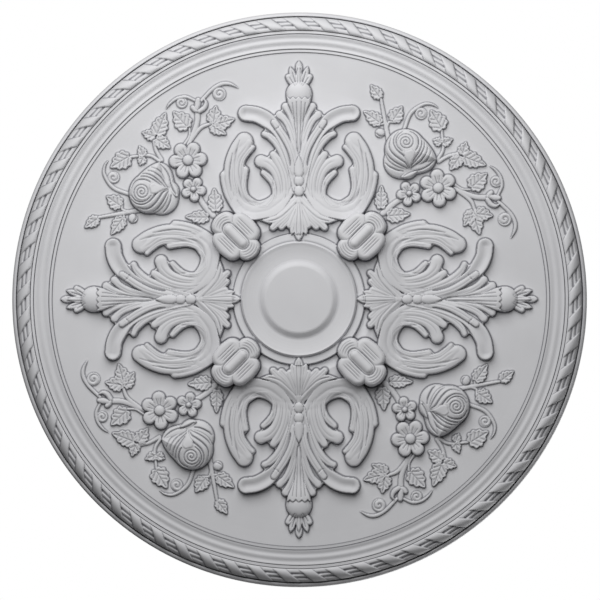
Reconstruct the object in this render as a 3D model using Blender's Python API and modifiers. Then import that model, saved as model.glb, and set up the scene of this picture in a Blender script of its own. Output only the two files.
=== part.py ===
"""Round moulded ceiling rose, one solid, flat back on the ceiling plane and carved face down.

The rose is turned from one profile and its face is then carved by a relief: four acanthus arms,
four clasps, four flower sprays and the ribbon-wrapped rope of the rim. Metres, +Z up. The origin is
the middle of the back, so the ceiling is the plane z = 0 and every height below is a drop from it.
"""
import math

import bpy
import numpy as np

# Overall
ROSE_DIAMETER = 0.829
FIELD_DROP = 0.015

# Rim, from the outside inwards
EDGE_DROP = 0.010
LIP_WIDTH = 0.0056
LIP_DROP = 0.018
CHANNEL_WIDTH = 0.0018
CHANNEL_DROP = 0.012
ROPE_WIDTH = 0.0196
ROPE_DROP = 0.034
ROPE_FOOT_DROP = 0.020
ROPE_WRAPS = 65
RIBBON_SHARE = 0.55
RIBBON_SLANT = 0.34
RIBBON_RISE = 0.0016
REED_DEPTH = 0.0020
FILLET_WIDTH = 0.0042
FILLET_DROP = 0.0250
QUIRK_WIDTH = 0.0016
QUIRK_DEPTH = 0.0040
MOULDING_WIDTH = 0.0205
MOULDING_OUTER_DROP = 0.0265
MOULDING_INNER_DROP = 0.0215
MOULDING_WAVE = 0.0030
BORDER_WIDTH = 0.0058
BORDER_DROP = 0.0195
FIELD_EDGE_DROP = 0.0178
DISH_WIDTH = 0.120

# Boss in the middle, with the flat seat for a light fitting
SEAT_RADIUS = 0.0470
SEAT_DROP = 0.0370
SEAT_ROUND = 0.0065
DISH_DROP = 0.0310
RING_RADIUS = 0.0808
RING_DROP = 0.0345
RING_WIDTH = 0.0034
COLLAR_DROP = 0.0290
COLLAR_WIDTH = 0.0100
HOLLOW_DROP = 0.0170
HOLLOW_WIDTH = 0.0150
SHOULDER_DROP = 0.0240
SHOULDER_WIDTH = 0.0500

# Carving
ARM_REACH = 0.343
ARM_RISE = 0.0120
CLASP_PLACE = 0.1275
CLASP_LENGTH = 0.0823
CLASP_DROP = 0.0510
SPRAY_REACH = 0.326
SPRAY_RISE = 0.0045
FLOWER_RISE = 0.0110
ROSE_RISE = 0.0230
LEAF_RIB_DEPTH = 0.0014
WALL_WIDTH = 0.0018
WALL_START = 0.3
FINGER_BLEND = 0.0010
HOLLOW_DEPTH = 0.0022
HOLLOW_REACH = 0.8

# Grid that the face is carved on, the facets kept and how strongly the rope and edge keep theirs
STEPS_PER_WRAP = 16
RING_SPACING = 0.0021
ROPE_SPACING = 0.0014
FACET_COUNT = 9600
RIM_WEIGHT = 0.3
RIM_STRENGTH = 0.05
BOX_MARGIN = 3.0

# Plans: the arm is drawn 238 units long, the spray 226 units from the middle, the clasp 57 long
ARM_UNIT = ARM_REACH / 238.0
SPRAY_UNIT = SPRAY_REACH / 226.0
CLASP_UNIT = CLASP_LENGTH / 57.0
ARMS = 4
QUARTER = 2.0 * math.pi / ARMS

WHITE = (0.80, 0.80, 0.82, 1.0)
PRIMER_ROUGHNESS = 0.62


# Arm, drawn pointing up with its left half alone: (x, y, half width) along each finger, in plan units.
# The numbers after a route are the share of the arm's rise, the roundness and how early it fades.
LEAF_FINGERS = (
    (((-6, 131, 3), (-8, 116, 5), (-13.5, 102, 7), (-23.5, 90.5, 8.5), (-37, 84, 9.5), (-50, 84, 9.5),
      (-59, 88, 5.5)), 0.84, 0.0008, 0.0),
    (((-25.5, 177.5, 2.5), (-20, 170, 3.5), (-14, 161, 4), (-9, 150.5, 3.5), (-6, 140, 3),
      (-4, 129, 2)), 1.02, 0.0018, 0.4),
    (((-35, 165.5, 2.5), (-29, 162.5, 3.5), (-22.5, 156, 4), (-17, 147, 4), (-13, 136.5, 3.5),
      (-10, 125.5, 3), (-8.5, 114, 2.5)), 0.78, 0.0022, 0.4),
    (((-25.5, 144.5, 4), (-20.5, 137, 4.5), (-16, 127, 4), (-13.5, 115, 4), (-14, 103, 4),
      (-18.5, 92, 4), (-26, 83.5, 4)), 0.80, 0.0022, 0.6),
    (((-38, 138, 6.5), (-30.5, 135, 6), (-24, 128, 5), (-20, 117, 4), (-19, 106, 3.5),
      (-21.5, 96.5, 3.5), (-28, 89, 3.5)), 0.80, 0.0024, 0.6),
    (((-35.5, 126.5, 3), (-30, 121.5, 3.5), (-26, 115, 3), (-24.5, 106, 2.5), (-26.5, 98.5, 2.5),
      (-31.5, 93.5, 2)), 0.80, 0.0018, 0.0),
    (((-56, 160, 7), (-63.5, 150, 6.5), (-68.5, 137.5, 5.5), (-70, 125.5, 5), (-68, 112.5, 4.5),
      (-64, 99.5, 4.5), (-59, 89, 4.5)), 0.82, 0.0022, 0.5),
    (((-52, 160, 6), (-56, 151, 5), (-61.5, 141, 4.5), (-63.5, 130, 4), (-63, 119, 4),
      (-60.5, 107.5, 4), (-56, 96.5, 4), (-49, 88, 3.5)), 0.84, 0.0022, 0.5),
    (((-46, 152, 2.5), (-51, 147, 3), (-56, 139.5, 3), (-58, 130.5, 3), (-58, 120.5, 3),
      (-57.5, 111.5, 3)), 0.80, 0.0020, 0.5),
    (((-53.5, 129.5, 3.5), (-54.5, 121.5, 3), (-56, 112.5, 2.5), (-54, 104, 2.5), (-48.5, 97.5, 2),
      (-40, 93.5, 2), (-31.5, 93.5, 2)), 0.80, 0.0018, 0.0),
    (((-75, 124, 4), (-74, 116, 4), (-71, 105, 4), (-66.5, 95.5, 3.5), (-63, 89, 2.5)),
     0.74, 0.0022, 0.4),
    (((-13.5, 193, 3.5), (-9, 185.5, 3.5), (-5, 174.5, 3), (-2.5, 161.5, 2.5), (-1.5, 148.5, 1.5)),
     0.74, 0.0020, 0.3),
    (((-19, 184.5, 3.5), (-13.5, 178.5, 3.5), (-8.5, 169, 3.5), (-5, 157, 3), (-3.5, 144, 2.5),
      (-3, 131, 2), (-3.5, 118, 2), (-4, 107.5, 1.5)), 0.76, 0.0020, 0.3),
    (((-6.5, 198.5, 4.5), (-3.5, 187.5, 4), (-1.5, 174.5, 3)), 0.74, 0.0010, 0.6),
    (((0, 197.5, 4), (0, 183, 3.5), (0, 168, 2.5), (0, 151.5, 1.5), (0, 143, 1)), 0.80, 0.0018, 0.3),
    (((0, 161.5, 4.5), (0, 146.5, 7), (0, 130, 8.5), (0, 116, 8), (0, 105, 5.5)), 0.76, 0.0005, 0.0),
)
LONG_FINGER = ((-53, 186, 8), (-42.5, 184.5, 8), (-32.5, 179.5, 8), (-24, 172, 6.5), (-17, 161.5, 5.5),
               (-11.5, 148.5, 5), (-8.5, 135.5, 4), (-6, 122.5, 3.5), (-4.5, 109.5, 2.5))
HUSK_FINGERS = (
    (((-1, 103, 3.5), (-6.5, 92, 3.5), (-12, 83.5, 3.5), (-18.5, 77, 3.5), (-25.5, 71.5, 3.5)),
     0.60, 0.0020, 0.0),
    (((-0.5, 103, 3.5), (-5, 92, 3.5), (-8.5, 82.5, 4), (-12.5, 75, 3.5), (-17.5, 70, 3.5)),
     0.64, 0.0020, 0.0),
    (((0, 103, 3.5), (-3, 90, 3.5), (-5.5, 79, 4), (-8.5, 71.5, 3)), 0.70, 0.0022, 0.0),
    (((-2, 102, 2), (-10, 89, 2.5), (-18.5, 80, 2.5), (-28, 76.5, 2), (-37, 76.5, 0.5)),
     0.62, 0.0016, 0.0),
    (((0.5, 103, 3.5), (0.5, 86.5, 3.5), (0.5, 72.5, 3), (0.5, 64, 2.5), (0.5, 58.5, 0.5)),
     0.76, 0.0022, 0.0),
    (((-0.5, 92, 2), (-2.5, 81.5, 3), (-4.5, 70.5, 3.5), (-7.5, 63, 1.5)), 0.70, 0.0018, 0.0),
)
CROWN_FINGERS = (
    (((0, 237.5, 0.5), (0, 230, 3.5), (0, 222, 3.5), (0, 212.5, 2.5)), 0.72, 0.0020, 0.0),
    (((-8.5, 231, 0.5), (-7.5, 226, 3), (-4.5, 219.5, 3), (-1.5, 212.5, 2)), 0.66, 0.0020, 0.0),
    (((-11.5, 222, 2.5), (-7.5, 219, 2.5), (-4, 214.5, 2)), 0.62, 0.0020, 0.0),
)
BEAD_FINGERS = (
    (((0.5, 143, 0.5), (0.5, 135.5, 3.5), (0.5, 129, 5), (0.5, 124, 3.5)), 0.95, 0.0045, 0.0),
    (((0.5, 119, 4.5), (0.5, 118, 4.5)), 0.95, 0.0045, 0.0),
    (((0.5, 110, 5), (0.5, 109, 5)), 0.95, 0.0045, 0.0),
    (((0.5, 104.5, 4.5), (0.5, 99.5, 3.5)), 0.78, 0.0020, 0.0),
)
ARM_BALL = ((0, 205.5, 13), (0, 205, 13))
ARM_BALL_RISE = 0.0125

# Clasp, drawn pointing up: the side and end cushions, then the long bead in its middle
CLASP_CUSHIONS = (
    ((-12.5, -7.5, 10), (-13.5, 0, 10), (-12.5, 7.5, 10)),
    ((12.5, -7.5, 10), (13.5, 0, 10), (12.5, 7.5, 10)),
    ((-4, 18, 9.5), (0, 18.5, 10), (4, 18, 9.5)),
    ((-3.5, -18, 9), (0, -18.5, 9.5), (3.5, -18, 9)),
    ((0, -10, 11), (0, 10, 11)),
)
CLASP_BEAD = ((0, -9.5, 5.3), (0, 9.5, 5.3))

# Spray in the upper left quarter of the face: leaves as (base, tip, width), stems and tendrils as
# routes, all from the middle of the rose
SPRAY_LEAVES = (
    ((-143, 162.5), (-133.5, 187), 15), ((-143, 162.5), (-157.5, 167), 11),
    ((-144, 161.5), (-128.5, 151), 13), ((-155, 142), (-160, 154), 9), ((-155.5, 143), (-159.5, 133.5), 9),
    ((-168.5, 144), (-189, 131.5), 17), ((-110, 170.5), (-126, 188), 17),
    ((-86, 174.5), (-83, 194), 14), ((-86, 174), (-64, 180.5), 14), ((-89, 175), (-72.5, 164.5), 12),
    ((-177, 92.5), (-193, 103.5), 14), ((-200, 82), (-214.5, 71.5), 11), ((-175, 83), (-188, 64.5), 13),
    ((-83, 86.5), (-85, 111.5), 14), ((-89, 82), (-114, 82.5), 12),
)
SPRAY_STEMS = (
    ((-145.5, 159, 1.6), (-143, 149, 1.6), (-137.5, 139.5, 1.8)),
    ((-168.5, 142.5, 1.3), (-150, 144, 1.5), (-139.5, 138.5, 1.8)),
    ((-109, 168, 1.2), (-110, 161, 1.2), (-114.5, 155.5, 1.2)),
    ((-101.5, 188, 2.2), (-102.5, 173.5, 2.2), (-110.5, 155, 2.0)),
    ((-88, 175, 1.2), (-98, 171, 1.3), (-105, 163, 1.4)),
    ((-177, 94, 1.2), (-177, 90, 1.2), (-172, 88, 1.2)),
    ((-156, 90, 2.2), (-175, 86.5, 2.0), (-200, 82, 1.5)),
    ((-176, 86, 1.2), (-175, 82, 1.2)),
    ((-101, 104, 2.4), (-95, 94, 2.6), (-86, 84, 2.8)),
    ((-105.5, 198.5, 1.6), (-115, 202.5, 1.6), (-125, 200, 1.3), (-133, 190.5, 0.6)),
    ((-99, 197, 1.7), (-86.5, 211, 1.7), (-73.5, 217.5, 1.4), (-61, 211, 0.6)),
    ((-168, 104.5, 1.7), (-185.5, 111.5, 1.8), (-194.5, 124, 1.6), (-194.5, 133, 1.2), (-191, 139, 0.6)),
)
SPRAY_CURLS = ((-117.5, 196.5, 5.4), (-79.5, 206, 6.6), (-185.5, 122, 5.6))
CURL_WIRE = 1.7
SPRAY_BUDS = ((-166, 81, 4.5), (-100.5, 197.5, 4.6), (-103.8, 190.5, 4.4), (-96, 192.5, 4.2))
SIX_PETALS = (-111, 139, 12.2, 7.0, 6, 65)
FIVE_PETALS = (-105.5, 110, 7.6, 5.0, 5, 62)
FLOWER_EYES = ((-111, 139, 5.5), (-105.5, 110, 3.0))
ROSE_BACK_PETALS = (
    (((-138.6, 100, 17.5), (-138.4, 100, 17.5)), 0.42),
    (((-140, 138, 0.5), (-135, 126, 9), (-130, 114, 9)), 0.36),
    (((-127.5, 120, 1), (-124, 112, 4.5), (-121.5, 104.5, 1.5)), 0.44),
)
ROSE_BULB = (-149.5, 106.8, 20.8)
ROSE_POINT = (-133, 111.5)
ROSE_EYE = (-156.7, 107.2)
ROSE_FOLDS = 4
ROSE_EYE_RADIUS = 8.5
ROSE_FOLD_RISE = 0.0013


def eased(share):
    """Smooth step from 0 to 1."""
    share = np.clip(share, 0.0, 1.0)
    return share * share * (3.0 - 2.0 * share)


def smooth_route(route, pieces=6):
    """Points along a curve through the route's own points, with the half width carried along."""
    own = np.array(route, float)
    ends = np.vstack([2 * own[0] - own[1], own, 2 * own[-1] - own[-2]])
    rows = []
    for before, start, end, after in zip(ends, ends[1:], ends[2:], ends[3:]):
        for step in np.arange(pieces) / pieces:
            rows.append(0.5 * (2 * start + (end - before) * step
                               + (2 * before - 5 * start + 4 * end - after) * step ** 2
                               + (3 * start - before - 3 * end + after) * step ** 3))
    rows.append(own[-1])
    rows = np.array(rows)
    rows[:, 2] = np.maximum(rows[:, 2], 0.0)
    return rows


def swept(x, y, route):
    """Depth inside a route's row of discs, share of its half width and share of its length."""
    rows = smooth_route(route)
    lengths = np.hypot(*np.diff(rows[:, :2], axis=0).T)
    reached = np.concatenate([[0.0], np.cumsum(lengths)])
    depth = np.full(x.shape, -1e9)
    side = np.zeros(x.shape)
    along = np.zeros(x.shape)
    for index, (start, end) in enumerate(zip(rows, rows[1:])):
        dx, dy, dw = end - start
        share = ((x - start[0]) * dx + (y - start[1]) * dy) / (dx * dx + dy * dy + 1e-9)
        share = np.clip(share, 0.0, 1.0)
        away = np.hypot(x - start[0] - share * dx, y - start[1] - share * dy)
        half = start[2] + share * dw
        inside = half - away
        better = inside > depth
        depth = np.where(better, inside, depth)
        side = np.where(better, away / np.maximum(half, 1e-6), side)
        along = np.where(better, (reached[index] + share * lengths[index]) / reached[-1], along)
    return depth, side, along


class Face:
    """The carved face: each point's place and its drop below the ceiling, in metres."""

    def __init__(self, x, y, drop):
        self.x = x
        self.y = y
        self.drop = drop.copy()
        radius = np.hypot(x, y)
        swell = np.where(radius > collar_radius(), swell_drop(radius), 0.0)
        self.ground = np.maximum(drop, swell)

    def plan(self, turn, unit, folded=False):
        """The points turned into an ornament's own plan, in its units."""
        x = (self.x * math.cos(turn) + self.y * math.sin(turn)) / unit
        y = (self.y * math.cos(turn) - self.x * math.sin(turn)) / unit
        return (-np.abs(x), y) if folded else (x, y)

    def raise_to(self, spots, drop):
        self.drop[spots] = np.maximum(self.drop[spots], drop)


def near_route(x, y, route, margin=BOX_MARGIN):
    """The points in the box around a route."""
    rows = smooth_route(route)
    reach = rows[:, 2].max() + margin
    low, high = rows.min(axis=0) - reach, rows.max(axis=0) + reach
    return np.nonzero((x > low[0]) & (x < high[0]) & (y > low[1]) & (y < high[1]))[0]


def carve_fingers(face, plan, unit, fingers, rise, blend=FINGER_BLEND, power=2.6):
    """Raise fingers that run together where they are closer than the blend."""
    x, y = plan
    blend = blend / unit
    total = np.zeros(x.shape)
    kept = []
    for route, share, crown, fade in fingers:
        spots = near_route(x, y, route)
        depth, side, along = swept(x[spots], y[spots], route)
        close = depth > -BOX_MARGIN
        spots = spots[close]
        total[spots] += np.exp(np.clip(depth[close] / blend, -30.0, 30.0))
        kept.append((spots, depth[close], side[close], along[close], share, crown, fade))
    joined = blend * np.log(np.maximum(total, 1e-12))
    for spots, depth, side, along, share, crown, fade in kept:
        wall = eased(joined[spots] * unit / WALL_WIDTH + WALL_START)
        if fade:
            crown = crown * eased((1.0 - along) / fade)
        rounded = crown * (1.0 - np.clip(side, 0.0, 1.0) ** power) * (depth > 0.0)
        valley = np.minimum(depth, 0.0) * unit * WALL_START
        drop = face.ground[spots] + wall * (rise * share + rounded + valley)
        face.raise_to(spots[wall > 0.0], drop[wall > 0.0])


def carve_trough(face, plan, unit, route, rise):
    """Raise one long finger with a rolled rim and a hollow along its middle."""
    x, y = plan
    spots = near_route(x, y, route)
    depth, side, along = swept(x[spots], y[spots], route)
    wall = eased(depth * unit / WALL_WIDTH + WALL_START)
    hollow = 0.5 + 0.5 * np.cos(math.pi * np.clip(side / HOLLOW_REACH, 0.0, 1.0))
    hollow = hollow * eased((1.0 - along) / 0.3)
    drop = face.ground[spots] + wall * (rise - HOLLOW_DEPTH * hollow)
    face.raise_to(spots[wall > 0.0], drop[wall > 0.0])


def carve_dome(face, plan, unit, route, rise, foot):
    """Raise a round or long bead on a short upright foot."""
    x, y = plan
    spots = near_route(x, y, route, 1.0)
    depth, side, _ = swept(x[spots], y[spots], route)
    wall = eased(depth * unit / WALL_WIDTH + WALL_START)
    dome = np.sqrt(np.clip(1.0 - side * side, 0.0, 1.0))
    drop = face.ground[spots] + wall * (foot + (rise - foot) * dome)
    face.raise_to(spots[wall > 0.0], drop[wall > 0.0])


def carve_arm(face, turn):
    """One acanthus arm: husk, scroll leaves, fan, beads, ball and crown."""
    plan = face.plan(turn, ARM_UNIT, folded=True)
    carve_fingers(face, plan, ARM_UNIT, HUSK_FINGERS, ARM_RISE, blend=0.0006)
    carve_trough(face, plan, ARM_UNIT, LONG_FINGER, ARM_RISE)
    carve_fingers(face, plan, ARM_UNIT, LEAF_FINGERS, ARM_RISE)
    carve_fingers(face, plan, ARM_UNIT, BEAD_FINGERS, ARM_RISE, blend=0.0003, power=2.0)
    carve_fingers(face, plan, ARM_UNIT, CROWN_FINGERS, ARM_RISE * 0.75, blend=0.0006)
    carve_dome(face, plan, ARM_UNIT, ARM_BALL, ARM_BALL_RISE + 0.004, 0.005)


def carve_clasp(face, turn):
    """One clasp: four cushions round a long bead."""
    x, y = face.plan(turn, CLASP_UNIT)
    plan = (x, y - CLASP_PLACE / CLASP_UNIT)
    spots = near_route(*plan, ((0, -20, 22), (0, 20, 22)))
    px, py = plan[0][spots], plan[1][spots]
    top = CLASP_DROP - 0.0035
    ground = face.ground[spots]
    best = ground.copy()
    for route in CLASP_CUSHIONS:
        depth, side, _ = swept(px, py, route)
        wall = eased(depth * CLASP_UNIT / WALL_WIDTH + WALL_START)
        edge = np.clip(depth / 5.0, 0.0, 1.0)
        cushion = ground + wall * ((top - ground) * (0.62 + 0.38 * np.sqrt(edge * (2.0 - edge))))
        best = np.maximum(best, cushion)
    ring = np.abs(swept(px, py, CLASP_BEAD)[0] + 1.5)
    best -= 0.0025 * np.clip(1.0 - ring / 1.4, 0.0, 1.0) * (best > ground)
    depth, side, _ = swept(px, py, CLASP_BEAD)
    bead = top - 0.004 + 0.0075 * np.sqrt(np.clip(1.0 - side * side, 0.0, 1.0))
    best = np.where(depth > 0.0, np.maximum(best, bead), best)
    face.raise_to(spots, best)


def carve_leaf(face, plan, base, tip, width, rise, teeth=4):
    """One toothed leaf with a sunk midrib."""
    x, y = plan
    length = math.dist(base, tip)
    ux, uy = (tip[0] - base[0]) / length, (tip[1] - base[1]) / length
    along = ((x - base[0]) * ux + (y - base[1]) * uy) / length
    across = (y - base[1]) * ux - (x - base[0]) * uy
    spots = np.nonzero((along > -0.05) & (along < 1.05) & (np.abs(across) < 0.6 * width))[0]
    along, across = np.clip(along[spots], 0.0, 1.0), across[spots]
    tooth = (along * teeth) % 1.0
    outline = np.sin(math.pi * along ** 0.72) ** 0.75
    half = 0.5 * width * outline * (1.0 - 0.22 * tooth * (along > 0.12))
    depth = half - np.abs(across)
    wall = eased(depth * SPRAY_UNIT / WALL_WIDTH + WALL_START)
    rib = LEAF_RIB_DEPTH * np.exp(-(across / (0.08 * width)) ** 2)
    drop = face.ground[spots] + wall * (rise - rib)
    face.raise_to(spots[wall > 0.0], drop[wall > 0.0])


def carve_petals(face, plan, middle_x, middle_y, reach, radius, count, first, rise):
    """A flower of round petals, each with a crease along its middle."""
    x, y = plan
    spots = near_route(x, y, ((middle_x, middle_y, reach + radius), (middle_x, middle_y + 0.1, 1.0)))
    px, py = x[spots], y[spots]
    for index in range(count):
        angle = math.radians(first + index * 360.0 / count)
        end_x, end_y = middle_x + reach * math.cos(angle), middle_y + reach * math.sin(angle)
        mid_x, mid_y = 0.5 * (middle_x + end_x), 0.5 * (middle_y + end_y)
        route = ((middle_x, middle_y, 0.3 * radius), (mid_x, mid_y, 0.75 * radius), (end_x, end_y, radius))
        depth, side, along = swept(px, py, route)
        wall = eased(depth * SPRAY_UNIT / WALL_WIDTH + WALL_START)
        cup = 0.0020 * (np.clip(side, 0.0, 1.0) ** 2 - side ** 6) - 0.0012 * np.exp(-(side / 0.16) ** 2)
        slope = -0.0030 * (1.0 - along)
        drop = face.ground[spots] + wall * (rise + cup + slope)
        face.raise_to(spots[wall > 0.0], drop[wall > 0.0])


def carve_rose(face, plan):
    """The closed rose: back petals, a bulb, folds that start at one point and a coiled eye."""
    for route, share in ROSE_BACK_PETALS:
        carve_dome(face, plan, SPRAY_UNIT, route, ROSE_RISE * share + 0.004, ROSE_RISE * share * 0.5)
    middle_x, middle_y, radius = ROSE_BULB
    x, y = plan
    bulb = ((middle_x, middle_y, radius), (middle_x, middle_y + 0.1, radius))
    spots = near_route(x, y, bulb)
    px, py = x[spots], y[spots]
    depth, side, _ = swept(px, py, bulb)
    wall = eased(depth * SPRAY_UNIT / WALL_WIDTH + WALL_START)
    dome = np.sqrt(np.clip(1.0 - side * side, 0.0, 1.0))
    folds = np.zeros(px.shape)
    for index in range(ROSE_FOLDS):
        share = index / ROSE_FOLDS
        eye_x = ROSE_EYE[0] + share * (middle_x - ROSE_EYE[0])
        eye_y = ROSE_EYE[1] + share * (middle_y - ROSE_EYE[1])
        size = ROSE_EYE_RADIUS + share * (radius - ROSE_EYE_RADIUS)
        fold = ((ROSE_POINT[0], ROSE_POINT[1], 0.5), (eye_x, eye_y, size))
        folds += ROSE_FOLD_RISE * eased(swept(px, py, fold)[0] / 1.0)
    for radius_share in (0.62, 0.30):
        ring = ROSE_EYE_RADIUS * radius_share - np.hypot(px - ROSE_EYE[0], py - ROSE_EYE[1])
        folds += ROSE_FOLD_RISE * eased(ring / 1.0)
    body = ROSE_RISE - ROSE_FOLD_RISE * (ROSE_FOLDS + 2)
    drop = face.ground[spots] + wall * (0.30 * body + 0.70 * body * dome + folds)
    face.raise_to(spots[wall > 0.0], drop[wall > 0.0])


def carve_spray(face, turn):
    """One spray: stems, tendrils, leaves, buds, two flowers and the rose."""
    plan = face.plan(turn, SPRAY_UNIT)
    x, y = plan
    for route in SPRAY_STEMS:
        carve_dome(face, plan, SPRAY_UNIT, route, SPRAY_RISE * 0.75, SPRAY_RISE * 0.3)
    for middle_x, middle_y, radius in SPRAY_CURLS:
        away = np.hypot(x - middle_x, y - middle_y)
        spots = np.nonzero(away < radius + 1.0)[0]
        wire = np.abs(away[spots] - (radius - CURL_WIRE)) / CURL_WIRE
        eye = away[spots] / (0.45 * CURL_WIRE)
        round_top = np.sqrt(np.clip(1.0 - np.minimum(wire, eye) ** 2, 0.0, 1.0))
        face.raise_to(spots, face.ground[spots] + SPRAY_RISE * 0.75 * round_top)
    for base, tip, width in SPRAY_LEAVES:
        carve_leaf(face, plan, base, tip, width, SPRAY_RISE)
    for middle_x, middle_y, radius in SPRAY_BUDS:
        bud = ((middle_x, middle_y, radius), (middle_x, middle_y + 0.1, radius))
        carve_dome(face, plan, SPRAY_UNIT, bud, SPRAY_RISE * 1.4, SPRAY_RISE * 0.6)
    carve_petals(face, plan, *SIX_PETALS, FLOWER_RISE)
    carve_petals(face, plan, *FIVE_PETALS, FLOWER_RISE * 0.9)
    for middle_x, middle_y, radius in FLOWER_EYES:
        eye = ((middle_x, middle_y, radius), (middle_x, middle_y + 0.1, radius))
        carve_dome(face, plan, SPRAY_UNIT, eye, FLOWER_RISE + 0.0035, FLOWER_RISE * 0.9)
    carve_rose(face, plan)


def carve_rope(face):
    """The rope of the rim: three reeds, wrapped by a slanting ribbon."""
    radius = np.hypot(face.x, face.y)
    spots = np.nonzero(np.abs(radius - rope_middle()) < 0.5 * ROPE_WIDTH)[0]
    across = (radius[spots] - rope_middle()) / (0.5 * ROPE_WIDTH)
    angle = np.arctan2(face.y[spots], face.x[spots])
    wrap = (angle * ROPE_WRAPS / (2.0 * math.pi) - RIBBON_SLANT * across * 0.5) % 1.0
    edge = 0.10
    ribbon = eased(wrap / edge) * eased((RIBBON_SHARE - wrap) / edge)
    half_round = np.sqrt(np.clip(1.0 - across * across, 0.0, 1.0))
    outer_groove = np.exp(-((across - 0.28) / 0.13) ** 2)
    inner_groove = np.exp(-((across + 0.28) / 0.13) ** 2)
    fade = np.clip((wrap - RIBBON_SHARE) / (1.0 - RIBBON_SHARE), 0.0, 1.0)
    reeds = REED_DEPTH * (outer_groove * (0.35 + 0.65 * fade) + inner_groove * (1.0 - 0.65 * fade))
    rise = ROPE_DROP - ROPE_FOOT_DROP - RIBBON_RISE
    drop = ROPE_FOOT_DROP + rise * half_round + half_round * (ribbon * RIBBON_RISE - (1.0 - ribbon) * reeds)
    face.raise_to(spots, drop)


def collar_radius():
    """Outer radius of the flat collar round the boss."""
    return RING_RADIUS + RING_WIDTH + COLLAR_WIDTH


def swell_drop(radius):
    """Smooth rise from the field to the boss that the arms and clasps lie on."""
    shoulder = collar_radius() + HOLLOW_WIDTH
    return FIELD_DROP + (SHOULDER_DROP - FIELD_DROP) * eased(1.0 - (radius - shoulder) / SHOULDER_WIDTH)


def rope_middle():
    """Radius of the rope's middle line."""
    return 0.5 * ROSE_DIAMETER - LIP_WIDTH - CHANNEL_WIDTH - 0.5 * ROPE_WIDTH


def wave(start_radius, end_radius, start_drop, end_drop, count):
    """Two round mouldings side by side between two radii, as points of the profile."""
    rows = []
    for index in range(count + 1):
        share = index / count
        radius = start_radius + share * (end_radius - start_radius)
        drop = start_drop + share * (end_drop - start_drop)
        rows.append((radius, drop - MOULDING_WAVE * 0.5 * (1.0 - math.cos(4.0 * math.pi * share))))
    return rows


def rim_profile():
    """The rim from its outer edge to the field, as (radius, drop)."""
    edge = 0.5 * ROSE_DIAMETER
    lip = edge - LIP_WIDTH
    rope_outer = lip - CHANNEL_WIDTH
    rope_inner = rope_outer - ROPE_WIDTH
    fillet = rope_inner - FILLET_WIDTH
    moulding = fillet - QUIRK_WIDTH
    border = moulding - MOULDING_WIDTH
    field = border - BORDER_WIDTH
    rows = [(edge, EDGE_DROP), (lip + 0.0008, LIP_DROP), (lip, LIP_DROP - 0.0006)]
    rows += [(lip - 0.4 * CHANNEL_WIDTH, CHANNEL_DROP), (rope_outer, CHANNEL_DROP)]
    rows += [(rope_outer - 0.0002, ROPE_FOOT_DROP), (rope_inner + 0.0002, ROPE_FOOT_DROP)]
    rows += [(rope_inner, FILLET_DROP - 0.003), (rope_inner - 0.0008, FILLET_DROP), (fillet, FILLET_DROP)]
    rows += [(fillet - 0.5 * QUIRK_WIDTH, FILLET_DROP - QUIRK_DEPTH)]
    rows += wave(moulding, border, MOULDING_OUTER_DROP, MOULDING_INNER_DROP, 16)
    rows += [(border - 0.0006, BORDER_DROP - 0.0015), (border - 0.0013, BORDER_DROP)]
    rows += [(field + 0.0010, BORDER_DROP), (field + 0.0004, FIELD_EDGE_DROP - 0.0008)]
    rows += [(field, FIELD_EDGE_DROP)]
    return rows


def boss_profile():
    """The boss from the field to its middle, as (radius, drop)."""
    collar = collar_radius()
    shoulder = collar + HOLLOW_WIDTH
    rows = []
    for share in (1.0, 0.8, 0.6, 0.4, 0.2, 0.0):
        radius = shoulder + SHOULDER_WIDTH * share
        rows.append((radius, float(swell_drop(radius))))
    for share in (0.8, 0.6, 0.4, 0.2, 0.0):
        drop = HOLLOW_DROP + (SHOULDER_DROP - HOLLOW_DROP) * share ** 2
        rows.append((collar + 0.0008 + (HOLLOW_WIDTH - 0.0008) * share, drop))
    rows += [(collar, COLLAR_DROP - 0.001), (collar - 0.0008, COLLAR_DROP)]
    rows += [(RING_RADIUS + RING_WIDTH, COLLAR_DROP), (RING_RADIUS + 0.5 * RING_WIDTH, RING_DROP - 0.002)]
    rows += [(RING_RADIUS, RING_DROP), (RING_RADIUS - RING_WIDTH, RING_DROP - 0.0012)]
    outer, inner = RING_RADIUS - RING_WIDTH, SEAT_RADIUS + SEAT_ROUND
    for share in (0.1, 0.3, 0.5, 0.7, 0.9):
        sag = (RING_DROP - 0.0012 - DISH_DROP) * (1.0 - (1.0 - share) ** 2)
        rows.append((outer + share * (inner - outer), RING_DROP - 0.0012 - sag))
    for share in (0.0, 0.2, 0.4, 0.6, 0.8, 1.0):
        drop = DISH_DROP + (SEAT_DROP - DISH_DROP) * float(eased(share))
        rows.append((inner - share * SEAT_ROUND, drop))
    rows.append((0.0, SEAT_DROP))
    return rows


def face_profile():
    """The whole face from its outer edge to its middle, with the field dished towards the rim."""
    rim = rim_profile()
    boss = boss_profile()
    field_edge = rim[-1][0]
    rows = []
    for share in (0.15, 0.3, 0.45, 0.6, 0.75, 0.9):
        drop = FIELD_DROP + (FIELD_EDGE_DROP - FIELD_DROP) * (1.0 - share) ** 2
        rows.append((field_edge - share * DISH_WIDTH, drop))
    return rim + rows + boss


def ring_points():
    """The whole turned profile: back, edge and face, with close rings where the face is carved."""
    corners = face_profile()
    rows = [(0.0, 0.0), (0.5 * ROSE_DIAMETER, 0.0), corners[0]]
    for start, end in zip(corners, corners[1:]):
        in_rope = abs(0.5 * (start[0] + end[0]) - rope_middle()) < 0.5 * ROPE_WIDTH
        spacing = ROPE_SPACING if in_rope else RING_SPACING
        count = max(1, math.ceil((start[0] - end[0]) / spacing))
        for index in range(1, count + 1):
            share = index / count
            rows.append((start[0] + share * (end[0] - start[0]), start[1] + share * (end[1] - start[1])))
    return rows


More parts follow.
